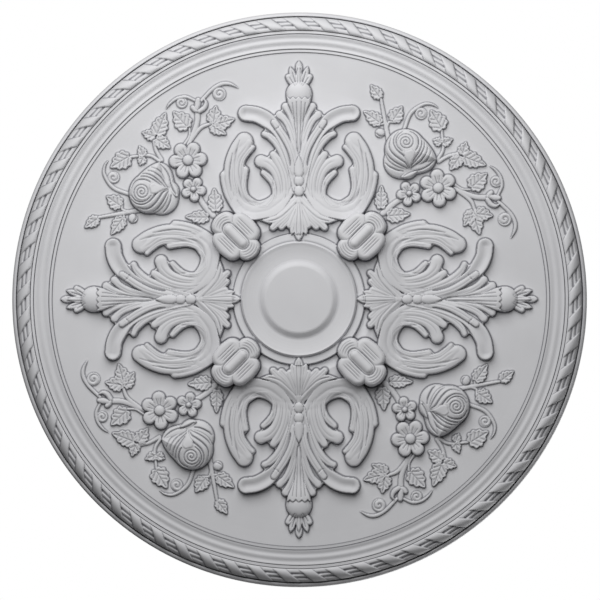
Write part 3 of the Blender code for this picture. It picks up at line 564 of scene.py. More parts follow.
def blurred_twice(values, reach):
    """A grid of values averaged twice, which rounds the square off."""
    return blurred(blurred(values, reach), reach)


def fill_gaps(face, where):
    """Fill the narrow gaps between fingers with a web a little below them."""
    raised = ((face.drop - face.ground > GAP_LEAST) & where).reshape(face.shape).astype(float)
    steps = max(1, round(GAP_REACH / face.spacing))
    grown = raised
    for _ in range(steps):
        grown = (blurred(grown, 1) > GAP_SPREAD).astype(float)
    shrunk = 1.0 - grown
    for _ in range(steps):
        shrunk = (blurred(shrunk, 1) > GAP_SPREAD).astype(float)
    closed = np.clip(1.0 - shrunk, 0.0, 1.0)
    soft = eased(GAP_SLOPE * blurred(closed, 1) - GAP_START).ravel()
    height = (face.drop - face.ground).reshape(face.shape) * raised
    level = blurred_twice(height, steps) / np.maximum(blurred_twice(raised, steps), GAP_TINY)
    web = (level.ravel() - GAP_SINK) * where
    spots = np.nonzero((soft > 0.0) & (web > 0.0))[0]
    face.lift(spots, soft[spots], web[spots])


def near_route(x, y, route, margin=BOX_MARGIN):
    """The points in the box around a route."""
    rows = smooth_route(route)
    reach = rows[:, 2].max() + margin
    low, high = rows.min(axis=0) - reach, rows.max(axis=0) + reach
    return np.nonzero((x > low[0]) & (x < high[0]) & (y > low[1]) & (y < high[1]))[0]


def swept_near(plan, route, margin=BOX_MARGIN):
    """The points in the box around a route, then the depth, side and length share of each."""
    x, y = plan
    spots = near_route(x, y, route, margin)
    return (spots, *swept(x[spots], y[spots], route))


def wall_of(depth, unit):
    """The sloping wall of a form, from 0 outside to 1 inside, by the depth in its plan units."""
    return eased(depth * unit / WALL_WIDTH + WALL_START)


def disc(middle_x, middle_y, radius):
    """A round spot as a route."""
    return ((middle_x, middle_y, radius), (middle_x, middle_y + 0.1, radius))


def carve_fingers(face, plan, unit, fingers, rise, blend=FINGER_BLEND):
    """Raise fingers that run together where they are closer than the blend."""
    blend = blend / unit
    total = np.zeros(plan[0].shape)
    kept = []
    for route, share, crown, fade in fingers:
        spots, depth, side, along = swept_near(plan, route)
        close = depth > -BOX_MARGIN
        spots = spots[close]
        total[spots] += np.exp(np.clip(depth[close] / blend, -30.0, 30.0))
        kept.append((spots, depth[close], side[close], along[close], share, crown, fade))
    joined = blend * np.log(np.maximum(total, 1e-12))
    for spots, depth, side, along, share, crown, fade in kept:
        wall = wall_of(joined[spots], unit)
        if fade:
            crown = crown * eased((1.0 - along) / fade)
        rounded = crown * (1.0 - np.abs(np.clip(side, -1.0, 1.0)) ** FINGER_ROUND) * (depth > 0.0)
        vein = bump(side - VEIN_PLACE, VEIN_WIDTH) * eased(depth / 2.0) * eased(along / VEIN_FADE)
        rounded -= VEIN_DEPTH * vein
        valley = np.minimum(depth, 0.0) * unit * WALL_START
        face.lift(spots, wall, rise * share + rounded + valley)


def carve_trough(face, plan, unit, route, rise):
    """Raise one long finger with a rolled rim and a hollow along its middle."""
    spots, depth, side, along = swept_near(plan, route)
    hollow = 0.5 + 0.5 * np.cos(math.pi * np.clip(np.abs(side) / TROUGH_REACH, 0.0, 1.0))
    hollow = hollow * eased((1.0 - along) / TROUGH_FADE)
    face.lift(spots, wall_of(depth, unit), rise - TROUGH_DEPTH * hollow)


def carve_dome(face, plan, unit, route, rise, foot):
    """Raise a round or long bead on a short upright foot."""
    spots, depth, side, _ = swept_near(plan, route, 1.0)
    dome = np.sqrt(np.clip(1.0 - side * side, 0.0, 1.0))
    face.lift(spots, wall_of(depth, unit), foot + (rise - foot) * dome)


def line_cut(x, y, routes):
    """Soft grooves along drawn lines, 0 to 1, as wide as their routes."""
    cut = np.zeros(x.shape)
    for route in routes:
        spots, depth, _, _ = swept_near((x, y), route)
        widest = max(point[2] for point in route)
        cut[spots] = np.maximum(cut[spots], eased(1.0 + (depth - widest) / (widest + ROSE_LINE_BLUR)))
    return cut


def carve_arm(face):
    """One acanthus arm: husk, scroll leaves, fan, beads, ball with its cup, and crown."""
    plan = face.plan(0.0, ARM_UNIT, folded=True)
    x, y = plan
    carve_trough(face, plan, ARM_UNIT, LONG_FINGER, ARM_RISE)
    carve_fingers(face, plan, ARM_UNIT, LEAF_FINGERS, ARM_RISE)
    fill_gaps(face, (y > ARM_GAPS_FROM) & (y < ARM_GAPS_TO))
    volute = swept(x, y, VOLUTE)[0]
    face.drop -= VOLUTE_DEPTH * eased(VOLUTE_SLOPE * volute + VOLUTE_START)
    ground = face.ground
    face.ground = np.where(np.hypot(face.x, face.y) < collar_radius(), SHOULDER_DROP, ground)
    carve_fingers(face, plan, ARM_UNIT, HUSK_FINGERS, ARM_RISE, HUSK_BLEND)
    face.ground = ground
    face.drop -= HUSK_LINE_DEPTH * line_cut(x, y, HUSK_LINES)
    for route in ARM_BEADS:
        carve_dome(face, plan, ARM_UNIT, route, ARM_BEAD_RISE, ARM_BEAD_FOOT)
    carve_fingers(face, plan, ARM_UNIT, CROWN_FINGERS, CROWN_RISE, CROWN_BLEND)
    carve_dome(face, plan, ARM_UNIT, ARM_BALL, ARM_BALL_RISE, ARM_BALL_FOOT)
    cup = CUP_EDGE + CUP_SCALLOP * np.abs(np.cos(math.pi * x / CUP_PITCH)) - y
    spots, depth, side, along = swept_near(plan, CUP_ROUTE)
    wall = wall_of(depth, ARM_UNIT) * eased(cup[spots] / CUP_WALL + 0.5)
    top = ARM_BALL_RISE + CUP_DEPTH
    face.lift(spots, wall, top + (CUP_LOW - top) * eased(along) - CUP_ROUND * side * side)
    face.drop -= ARM_LINE_DEPTH * line_cut(x, y, ARM_LINES)


def carve_clasp(face):
    """One clasp: four cushions round a long bead, grooved along their edges."""
    x, y = face.plan(-0.5 * QUARTER, CLASP_UNIT)
    y = y - CLASP_PLACE / CLASP_UNIT
    spots = near_route(x, y, CLASP_REACH)
    px, py = x[spots], y[spots]
    top = CLASP_DROP - CLASP_BEAD_RISE
    ground, base = face.ground[spots], face.base[spots]
    best = base.copy()
    bead_depth, bead_side, _ = swept(px, py, CLASP_BEAD)
    outside = -bead_depth
    grooves = 0.5 + 0.5 * np.cos(2.0 * math.pi * (outside - CLASP_GROOVE_START) / CLASP_GROOVE_PITCH)
    place, angle, width = CLASP_CORNER
    corner = np.arctan2(np.abs(py) - place, np.abs(px))
    grooves = grooves * (1.0 - bump(corner - math.radians(angle), math.radians(width)))
    grooves = CLASP_GROOVE_DEPTH * grooves ** LINE_POWER * (outside < CLASP_GROOVE_END)
    for route in CLASP_CUSHIONS:
        depth = swept(px, py, route)[0]
        wall = wall_of(depth, CLASP_UNIT)
        edge = np.clip(depth / CUSHION_ROUND, 0.0, 1.0)
        shape = CUSHION_FOOT + (1.0 - CUSHION_FOOT) * np.sqrt(edge * (2.0 - edge))
        grooved = grooves * eased((depth - 1.0) / CUSHION_FADE)
        best = np.maximum(best, base + wall * (ground - base + (top - ground) * shape - grooved))
    line = np.clip(1.0 - np.abs(bead_depth + 1.0) / BEAD_LINE_WIDTH, 0.0, 1.0)
    best -= BEAD_LINE_DEPTH * line * (best > ground)
    dome = np.sqrt(np.clip(1.0 - bead_side * bead_side, 0.0, 1.0))
    bead = top - BEAD_SUNK + (BEAD_SUNK + CLASP_BEAD_RISE) * dome
    best = np.where(bead_depth > 0.0, np.maximum(best, bead), best)
    face.drop[spots] = np.maximum(face.drop[spots], best)


def carve_leaf(face, plan, base, tip, width, rise):
    """One toothed leaf, round at its base and pointed at its tip, with a rolled rim, a rib and veins."""
    x, y = plan
    length = math.dist(base, tip)
    ux, uy = (tip[0] - base[0]) / length, (tip[1] - base[1]) / length
    middle_x, middle_y = base[0] + LEAF_MIDDLE * length * ux, base[1] + LEAF_MIDDLE * length * uy
    spots = near_route(x, y, disc(middle_x, middle_y, (1.0 - LEAF_MIDDLE) * length))
    px, py = x[spots] - middle_x, y[spots] - middle_y
    along = px * ux + py * uy
    across = px * uy - py * ux
    reach = np.maximum(np.hypot(along, across), 1e-6)
    angle = np.arctan2(across, along)
    ahead = np.where(along > 0.0, 1.0 - LEAF_MIDDLE, LEAF_MIDDLE) * length
    power = np.where(along > 0.0, LEAF_POINT, LEAF_HEEL)
    sides = (np.abs(along) / reach / ahead) ** power
    sides += (np.abs(across) / reach / (LEAF_BREADTH * width)) ** power
    share = angle * LEAF_TEETH / (2.0 * math.pi)
    tooth = 2.0 * np.abs(share - np.floor(share) - 0.5)
    edge = sides ** (-1.0 / power) * (1.0 - LEAF_TOOTH * (1.0 - tooth) ** LEAF_TOOTH_POWER)
    depth = LEAF_SLOPE * (edge - reach)
    rank = (along - LEAF_VEIN_LEAN * np.abs(across)) / LEAF_VEIN_PITCH
    vein = bump(rank - np.floor(rank) - 0.5, LEAF_VEIN_WIDTH) * (along < LEAF_VEIN_END * ahead)
    rib = bump(across, LEAF_RIB_WIDTH) * (along < LEAF_RIB_END * ahead)
    lines = eased(depth / LEAF_RIM) * np.maximum(rib, LEAF_VEIN_SHARE * vein)
    relief = LEAF_CURL * bump(depth - 1.0, LEAF_CURL_WIDTH) - LEAF_RIB_DEPTH * lines
    face.lift(spots, wall_of(depth, SPRAY_UNIT), rise + relief)


def carve_petals(face, plan, middle_x, middle_y, reach, radius, count, first, rise):
    """A flower of round petals, each sunk at its edge and creased twice along its middle."""
    x, y = plan
    spots = near_route(x, y, disc(middle_x, middle_y, reach + radius))
    px, py = x[spots], y[spots]
    for index in range(count):
        angle = math.radians(first + index * 360.0 / count)
        end_x, end_y = middle_x + reach * math.cos(angle), middle_y + reach * math.sin(angle)
        mid_x, mid_y = 0.5 * (middle_x + end_x), 0.5 * (middle_y + end_y)
        route = ((middle_x, middle_y, PETAL_START * radius), (mid_x, mid_y, PETAL_WAIST * radius),
                 (end_x, end_y, radius))
        depth, side, along = swept(px, py, route)
        wall = wall_of(depth, SPRAY_UNIT)
        out = ((px - middle_x) * math.cos(angle) + (py - middle_y) * math.sin(angle)) / reach
        off = ((py - middle_y) * math.cos(angle) - (px - middle_x) * math.sin(angle)) / radius
        lines = bump(np.abs(off) - PETAL_SPREAD * out, PETAL_CREASE_WIDTH)
        lines += 0.5 * bump(off, PETAL_MIDDLE_WIDTH)
        crease = PETAL_CREASE * lines * eased((out - PETAL_LINE_START) / PETAL_LINE_GROWTH)
        crease = crease * eased((PETAL_LINE_END - out) / PETAL_LINE_FADE)
        rim = PETAL_EDGE * np.clip(np.abs(side), 0.0, 1.0) ** PETAL_ROUND
        face.lift(spots, wall, rise - crease - rim - PETAL_SINK * (1.0 - along))


def carve_rose(face, plan):
    """The closed rose: back petals, then a bulb cut by folds that meet in one point, and a coiled eye."""
    x, y = plan
    for route, share in ROSE_BACK_PETALS:
        rise = ROSE_RISE * share
        carve_dome(face, plan, SPRAY_UNIT, route, rise + ROSE_BACK_ROUND, rise * ROSE_BACK_FOOT)
    face.drop -= ROSE_LINE_DEPTH * line_cut(x, y, ROSE_BACK_LINES)
    spots = np.union1d(*[near_route(x, y, route) for route in ROSE_BULB])
    px, py = x[spots], y[spots]
    depth = np.maximum(*[swept(px, py, route)[0] for route in ROSE_BULB])
    wall = wall_of(depth, SPRAY_UNIT)
    side = np.clip(1.0 - depth / ROSE_ROUND, 0.0, 1.0)
    dome = np.sqrt(1.0 - side * side)
    away = np.hypot(px - ROSE_EYE[0], py - ROSE_EYE[1])
    turn = np.arctan2(py - ROSE_EYE[1], px - ROSE_EYE[0]) / (2.0 * math.pi)
    coil = 0.5 + 0.5 * np.cos(2.0 * math.pi * (away / ROSE_COIL_PITCH - turn))
    cut = ROSE_COIL_DEPTH * coil ** LINE_POWER * eased(ROSE_EYE_RADIUS - away)
    cut += ROSE_LINE_DEPTH * line_cut(px, py, ROSE_LINES)
    bill = np.minimum(swept(px, py, ROSE_BILL)[0], away - ROSE_EYE_RADIUS + ROSE_BILL_LAP)
    cut = np.where(bill > 0.0, -ROSE_BILL_RISE * eased(bill / ROSE_BILL_WALL), cut)
    face.lift(spots, wall, ROSE_RISE * (ROSE_FOOT + (1.0 - ROSE_FOOT) * dome) - cut)


def carve_curl(face, plan, middle_x, middle_y, radius, hand):
    """A tendril's end, coiled on itself in a spiral of round wire."""
    x, y = plan
    away = np.hypot(x - middle_x, y - middle_y)
    spots = np.nonzero(away < radius + 1.0)[0]
    away = away[spots]
    turn = hand * np.arctan2(y[spots] - middle_y, x[spots] - middle_x) / (2.0 * math.pi)
    pitch = radius / CURL_TURNS
    phase = away / pitch - turn
    inside = 0.5 * pitch - np.abs(phase - np.floor(phase) - 0.5) * pitch
    inside = np.minimum(inside, radius - away)
    tube = np.sqrt(np.clip(inside / (0.5 * pitch), 0.0, 1.0))
    wall = wall_of(radius - away, SPRAY_UNIT)
    face.lift(spots, wall, SPRAY_RISE * (CURL_FOOT + CURL_ROUND * tube))


def carve_spray(face):
    """One spray: stems, tendrils, leaves, buds, two flowers and the rose."""
    plan = face.plan(0.0, SPRAY_UNIT)
    for route in SPRAY_STEMS:
        carve_dome(face, plan, SPRAY_UNIT, route, *STEM_HEIGHTS)
    for curl in SPRAY_CURLS:
        carve_curl(face, plan, *curl)
    for base, tip, width in SPRAY_LEAVES:
        carve_leaf(face, plan, base, tip, width, SPRAY_RISE)
    for bud in SPRAY_BUDS:
        carve_dome(face, plan, SPRAY_UNIT, bud, *BUD_HEIGHTS)
    carve_petals(face, plan, *SIX_PETALS, FLOWER_RISE)
    carve_petals(face, plan, *FIVE_PETALS, SMALL_FLOWER_RISE)
    for eye in FLOWER_EYES:
        carve_dome(face, plan, SPRAY_UNIT, disc(*eye), FLOWER_RISE + EYE_RISE, SMALL_FLOWER_RISE)
    carve_rose(face, plan)


def rope_drop(angle, across, wraps):
    """Drop of the rope: three reeds wrapped by a slanting ribbon; across is -1 inside to 1 outside."""
    wrap = (angle * wraps / (2.0 * math.pi) - RIBBON_LEAN * across * 0.5) % 1.0
    ribbon = eased(wrap / RIBBON_EDGE) * eased((RIBBON_SHARE - wrap) / RIBBON_EDGE)
    half_round = np.sqrt(np.clip(1.0 - across * across, 0.0, 1.0))
    fade = np.clip((wrap - RIBBON_SHARE) / (1.0 - RIBBON_SHARE), 0.0, 1.0)
    outer_groove = bump(across - REED_PLACE, REED_GROOVE) * (1.0 - REED_FADE * (1.0 - fade))
    inner_groove = bump(across + REED_PLACE, REED_GROOVE) * (1.0 - REED_FADE * fade)
    foot = ROPE_OUTER_DROP + (ROPE_INNER_DROP - ROPE_OUTER_DROP) * 0.5 * (1.0 - across)
    middle = 2.0 * wrap / RIBBON_SHARE - 1.0
    relief = (ribbon - 1.0) * RIBBON_STEP - ribbon * RIBBON_SWELL * middle * middle
    relief -= (1.0 - ribbon) * REED_CUT * (outer_groove + inner_groove)
    return foot + half_round * (rope_rise() + relief)


def collar_radius():
    """Outer radius of the flat collar round the boss."""
    return RING_RADIUS + RING_WIDTH + COLLAR_WIDTH


def swell_drop(radius):
    """Smooth rise from the field to the boss that the arms and clasps lie on."""
    shoulder = collar_radius() + HOLLOW_WIDTH
    return FIELD_DROP + (SHOULDER_DROP - FIELD_DROP) * eased(1.0 - (radius - shoulder) / SHOULDER_WIDTH)


def rope_middle():
    """Radius of the rope's middle line."""
    return 0.5 * ROSE_DIAMETER - LIP_WIDTH - CHANNEL_WIDTH - 0.5 * ROPE_WIDTH


def rope_rise():
    """Height of the round rope above its slanting foot, so that its crown lies at the rope's drop."""
    slope = 0.5 * (ROPE_INNER_DROP - ROPE_OUTER_DROP)
    crown = ROPE_DROP - 0.5 * (ROPE_INNER_DROP + ROPE_OUTER_DROP)
    return math.sqrt(crown * crown - slope * slope)


def wave(start_radius, end_radius, start_drop, end_drop, count):
    """Two round mouldings side by side between two radii, as points of the profile."""
    rows = []
    for index in range(count + 1):
        share = index / count
        radius = start_radius + share * (end_radius - start_radius)
        drop = start_drop + share * (end_drop - start_drop)
        rows.append((radius, drop - MOULDING_WAVE * 0.5 * (1.0 - math.cos(4.0 * math.pi * share))))
    return rows


def rim_profile():
    """The rim from its outer edge to the field, as (radius, drop)."""
    edge = 0.5 * ROSE_DIAMETER
    lip = edge - LIP_WIDTH
    rope_outer = lip - CHANNEL_WIDTH
    rope_inner = rope_outer - ROPE_WIDTH
    fillet = rope_inner - FILLET_WIDTH
    moulding = fillet - QUIRK_WIDTH
    border = moulding - MOULDING_WIDTH
    field = border - BORDER_WIDTH
    rows = []
    for share in (0.0, 0.15, 0.3, 0.5, 0.7, 0.85):
        drop = EDGE_DROP + (LIP_DROP - EDGE_DROP) * math.sin(0.5 * math.pi * share) ** LIP_ROUND
        rows.append((edge - (LIP_WIDTH - BEVEL) * share, drop))
    rows += [(lip + BEVEL, LIP_DROP), (lip, LIP_DROP - LIP_STEP)]
    rows += [(lip - CHANNEL_WALL * CHANNEL_WIDTH, CHANNEL_DROP), (rope_outer, CHANNEL_DROP)]
    rows += [(rope_outer - ROPE_GAP, ROPE_OUTER_DROP), (rope_inner + ROPE_GAP, ROPE_INNER_DROP)]
    rows += [(rope_inner, FILLET_DROP - FILLET_STEP), (rope_inner - BEVEL, FILLET_DROP)]
    rows += [(fillet, FILLET_DROP), (fillet - 0.5 * QUIRK_WIDTH, FILLET_DROP - QUIRK_DEPTH)]
    rows += wave(moulding, border, MOULDING_OUTER_DROP, MOULDING_INNER_DROP, WAVE_STEPS)
    near, far = BORDER_OUTER_SLOPE
    rows += [(border - near, BORDER_DROP - BORDER_STEP), (border - far, BORDER_DROP)]
    far, near = BORDER_INNER_SLOPE
    rows += [(field + far, BORDER_DROP), (field + near, FIELD_EDGE_DROP - BEVEL)]
    return rows + [(field, FIELD_EDGE_DROP)]


def boss_profile():
    """The boss from the field to its middle, as (radius, drop)."""
    collar = collar_radius()
    shoulder = collar + HOLLOW_WIDTH
    rows = []
    for share in (1.0, 0.8, 0.6, 0.4, 0.2, 0.0):
        radius = shoulder + SHOULDER_WIDTH * share
        rows.append((radius, float(swell_drop(radius))))
    for share in (0.8, 0.6, 0.4, 0.2, 0.0):
        drop = HOLLOW_DROP + (SHOULDER_DROP - HOLLOW_DROP) * share ** 2
        rows.append((collar + BEVEL + (HOLLOW_WIDTH - BEVEL) * share, drop))
    rows += [(collar, COLLAR_DROP - COLLAR_STEP), (collar - BEVEL, COLLAR_DROP)]
    rows += [(RING_RADIUS + RING_WIDTH, COLLAR_DROP)]
    rows += [(RING_RADIUS + 0.5 * RING_WIDTH, RING_DROP - RING_STEP), (RING_RADIUS, RING_DROP)]
    outer, inner, start = RING_RADIUS - RING_WIDTH, SEAT_RADIUS + SEAT_SOFT, RING_DROP - RING_SLOPE
    rows.append((outer, start))
    for share in (0.1, 0.3, 0.5, 0.7, 0.9):
        sag = (start - DISH_DROP) * (1.0 - (1.0 - share) ** 2)
        rows.append((outer + share * (inner - outer), start - sag))
    for share in (0.0, 0.2, 0.4, 0.6, 0.8, 1.0):
        drop = DISH_DROP + (SEAT_DROP - DISH_DROP) * float(eased(share))
        rows.append((inner - share * SEAT_SOFT, drop))
    rows.append((0.0, SEAT_DROP))
    return rows


def face_profile():
    """The whole face from its outer edge to its middle, with the field dished towards the rim."""
    rim = rim_profile()
    boss = boss_profile()
    field_edge = rim[-1][0]
    rows = []
    for share in (0.15, 0.3, 0.45, 0.6, 0.75, 0.9):
        drop = FIELD_DROP + (FIELD_EDGE_DROP - FIELD_DROP) * (1.0 - share) ** 2
        rows.append((field_edge - share * DISH_WIDTH, drop))
    return rim + rows + boss


def body_points():
    """The face of the turned body from its edge to its middle, in steps that are close at the corners."""
    rows = []
    corners = face_profile()
    for start, end in zip(corners, corners[1:]):
        count = max(1, math.ceil(0.5 * math.pi * math.sqrt((start[0] - end[0]) / BODY_RING) - 0.5))
        for index in range(count):
            share = 0.5 - 0.5 * math.cos(math.pi * index / count)
            rows.append((start[0] + share * (end[0] - start[0]), start[1] + share * (end[1] - start[1])))
    return rows + [corners[-1]]


def body_drop(radius):
    """Drop of the turned body at a radius."""
    rows = np.array(face_profile()[::-1])
    return np.interp(radius, rows[:, 0], rows[:, 1])


def crease_shade_of(drop, spacing):
    """Share of painted crease shade at each point, 0 to 1: how deep it lies below its surroundings, from
    two sizes of surroundings.
    """
    deep = np.zeros(drop.shape)
    for reach, depth, weight in CREASE_SHADE_REACHES:
        steps = max(1, round(reach / spacing))
        near = blurred_twice(drop, steps)
        deep += weight * np.clip((near - drop) / depth, 0.0, 1.0)
    return deep


def linked(name, data):
    """A new object in the scene."""
    made = bpy.data.objects.new(name, data)
    bpy.context.scene.collection.objects.link(made)
    return made


def finished(mesh, crease, material):
    """Give a mesh its share of painted crease shade as an attribute, smooth shading and its material."""
    # The crease attribute is painted shade: the material darkens the colour by it
    painted_shade = mesh.attributes.new("crease", "FLOAT", "POINT")
    painted_shade.data.foreach_set("value", np.asarray(crease, np.float32))
    mesh.shade_smooth()
    mesh.materials.append(material)


def new_piece(name, places, faces, crease, material):
    """A smooth object from points and faces."""
    mesh = bpy.data.meshes.new(name)
    mesh.from_pydata(places, [], faces)
    finished(mesh, crease, material)
    return linked(name, mesh)


def close_under(mesh):
    """Fill the flat underside where a mesh is open, and face every side outward."""
    work = bmesh.new()
    work.from_mesh(mesh)
    rim = [edge for edge in work.edges if edge.is_boundary]
    if rim:
        bmesh.ops.triangle_fill(work, edges=rim, normal=(0.0, 0.0, 1.0))
    bmesh.ops.recalc_face_normals(work, faces=work.faces)
    work.to_mesh(mesh)
    work.free()


def no_corner_touch(kept):
    """Fill cells until no two kept cells meet only at a corner."""
    while True:
        a, b, c, d = kept[:-1, :-1], kept[:-1, 1:], kept[1:, :-1], kept[1:, 1:]
        cross = (a & d & ~b & ~c) | (b & c & ~a & ~d)
        if not cross.any():
            return kept
        kept = kept.copy()
        rows, columns = np.nonzero(cross)
        for row, column in ((0, 0), (0, 1), (1, 0), (1, 1)):
            kept[rows + row, columns + column] = True


def relief_patch(name, low, high, spacing, carve, turns, material):
    """Pieces cut from one grid of relief, one for each turn about the middle."""
    xs = np.arange(low[0], high[0] + 0.5 * spacing, spacing)
    ys = np.arange(low[1], high[1] + 0.5 * spacing, spacing)
    x, y = (grid.ravel() for grid in np.meshgrid(xs, ys))
    shape = (len(ys), len(xs))
    face = Face(x, y, body_drop(np.hypot(x, y)), shape, spacing)
    carve(face)
    lifted = (face.drop > face.base + SUNK).reshape(shape)
    steps = round(SKIRT_WIDTH / spacing)
    near = blurred_twice(lifted.astype(float), steps)
    fade = eased(near / SKIRT_FADE).ravel()
    # Painted shade in the creases, faded out towards the patch's skirt
    crease = fade * crease_shade_of(np.maximum(face.drop, face.base + SUNK).reshape(shape), spacing).ravel()
    face.drop = np.maximum(face.drop, face.base + SUNK + SKIRT_RISE * (2.0 * fade - 1.0))
    lifted = near > SKIRT_END
    kept = lifted[:-1, :-1] | lifted[:-1, 1:] | lifted[1:, :-1] | lifted[1:, 1:]
    kept = no_corner_touch(kept)
    rows, columns = np.nonzero(kept)
    corner = rows * shape[1] + columns
    quads = np.stack([corner, corner + 1, corner + shape[1] + 1, corner + shape[1]], axis=1)
    used = np.unique(quads)
    number = np.full(len(x), -1)
    number[used] = np.arange(len(used))
    quads = number[quads]
    edges = np.concatenate([quads[:, [side, (side + 1) % 4]] for side in range(4)])
    codes = edges[:, 0] * len(used) + edges[:, 1]
    back = edges[:, 1] * len(used) + edges[:, 0]
    open_edges = edges[~np.isin(codes, back)]
    rim = np.unique(open_edges)
    under = np.full(len(used), -1)
    under[rim] = len(used) + np.arange(len(rim))
    start, end = open_edges.T
    walls = np.stack([end, start, under[start], under[end]], axis=1)
    flat_x, flat_y = (np.concatenate([flat[used], flat[used][rim]]) for flat in (x, y))
    drop = np.concatenate([face.drop[used], np.full(len(rim), UNDERSIDE)])
    # The closed underside gets full painted crease shade
    painted_shade = np.concatenate([crease[used], np.ones(len(rim))])
    faces = np.concatenate([quads, walls]).tolist()
    pieces = []
    for index, turn in enumerate(turns):
        turned_x = flat_x * math.cos(turn) - flat_y * math.sin(turn)
        turned_y = flat_x * math.sin(turn) + flat_y * math.cos(turn)
        places = np.stack([turned_x, -turned_y, -drop], axis=1).tolist()
        piece = new_piece(f"{name}_{index + 1}", places, faces, painted_shade, material)
        close_under(piece.data)
        pieces.append(piece)
    return pieces


def dressed(pieces):
    """Ride the pieces on the rose and let them stand for its solid."""
    for piece in pieces:
        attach(piece, "root")
        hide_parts(NODE)


def plain(obj, name):
    """The object as it is evaluated, as a plain mesh object of that name."""
    mesh = bpy.data.meshes.new_from_object(obj.evaluated_get(bpy.context.evaluated_depsgraph_get()))
    mesh.name = name
    bpy.data.objects.remove(obj)
    return linked(name, mesh)


def add_node(tree, kind, **settings):
    """A node with its settings and its constant inputs, given by name or number."""
    inputs = settings.pop("inputs", {})
    node = tree.nodes.new(kind)
    for key, value in settings.items():
        setattr(node, key, value)
    for key, value in inputs.items():
        node.inputs[key].default_value = value
    return node


def wire(tree, *links):
    """Join nodes, each link as (source, its output, target, its input)."""
    for source, output, target, entry in links:
        tree.links.new(source.outputs[output], target.inputs[entry])


def add_sockets(tree, inputs, outputs):
    """Give a node group its named sockets."""
    for label, kind, value in inputs:
        socket = tree.interface.new_socket(name=label, in_out="INPUT", socket_type=kind)
        if value is not None:
            socket.default_value = value
    for label, kind in outputs:
        tree.interface.new_socket(name=label, in_out="OUTPUT", socket_type=kind)


def new_group(name, inputs, outputs):
    """A shader node group with named sockets and its two end nodes."""
    tree = bpy.data.node_groups.new(name, "ShaderNodeTree")
    add_sockets(tree, inputs, outputs)
    return tree, tree.nodes.new("NodeGroupInput"), tree.nodes.new("NodeGroupOutput")


def primer_mottle():
    """Group: the faint clouding of sprayed primer, as a colour."""
    tree, ends, out = new_group(
        "primer_mottle",
        [("Position", "NodeSocketVector", None), ("Light", "NodeSocketColor", (0.8, 0.8, 0.8, 1.0)),
         ("Dark", "NodeSocketColor", (0.7, 0.7, 0.7, 1.0)), ("Size", "NodeSocketFloat", 9.0)],
        [("Color", "NodeSocketColor")])
    cloud = add_node(tree, "ShaderNodeTexNoise", inputs=CLOUD_NOISE)
    spread = add_node(tree, "ShaderNodeMapRange", inputs=CLOUD_RANGE)
    blend = add_node(tree, "ShaderNodeMix", data_type="RGBA")
    wire(tree, (ends, "Position", cloud, "Vector"), (ends, "Size", cloud, "Scale"),
         (cloud, 0, spread, "Value"), (spread, "Result", blend, 0), (ends, "Light", blend, MIX_FIRST),
         (ends, "Dark", blend, MIX_SECOND), (blend, MIX_COLOUR, out, "Color"))
    return tree


def primer_grain():
    """Group: the fine grain of the primer, as a height."""
    tree, ends, out = new_group(
        "primer_grain", [("Position", "NodeSocketVector", None), ("Size", "NodeSocketFloat", 900.0)],
        [("Height", "NodeSocketFloat")])
    grain = add_node(tree, "ShaderNodeTexNoise", inputs=GRAIN_NOISE)
    wire(tree, (ends, "Position", grain, "Vector"), (ends, "Size", grain, "Scale"),
         (grain, 0, out, "Height"))
    return tree


def primer_with_painted_shade(paint):
    """White primer, with painted shade that darkens it in the creases of the relief."""
    material = bpy.data.materials.get("rose_primer_painted_shade") or bpy.data.materials.new("rose_primer_painted_shade")
    material.use_nodes = True
    tree = material.node_tree
    tree.nodes.clear()
    position = add_node(tree, "ShaderNodeTexCoord")
    mottle = add_node(tree, "ShaderNodeGroup", node_tree=primer_mottle(),
                      inputs={"Light": paint.light, "Dark": paint.dark})
    grain = add_node(tree, "ShaderNodeGroup", node_tree=primer_grain())
    # Painted crease shade: the crease attribute mixes the primer towards the shade colour
    crease = add_node(tree, "ShaderNodeAttribute", attribute_name="crease")
    share = add_node(tree, "ShaderNodeMath", operation="MULTIPLY", inputs={1: paint.crease_shade_share})
    shade = add_node(tree, "ShaderNodeMix", data_type="RGBA", inputs={MIX_SECOND: paint.crease})
    rise = add_node(tree, "ShaderNodeBump", inputs={"Strength": GRAIN_STRENGTH, "Distance": paint.grain})
    shader = add_node(tree, "ShaderNodeBsdfPrincipled", inputs={"Roughness": paint.roughness})
    out = add_node(tree, "ShaderNodeOutputMaterial")
    wire(tree, (position, "Object", mottle, "Position"), (position, "Object", grain, "Position"),
         (crease, "Fac", share, 0), (share, 0, shade, 0), (mottle, "Color", shade, MIX_FIRST),
         (shade, MIX_COLOUR, shader, "Base Color"), (grain, "Height", rise, "Height"),
         (rise, "Normal", shader, "Normal"), (shader, "BSDF", out, "Surface"))
    return material


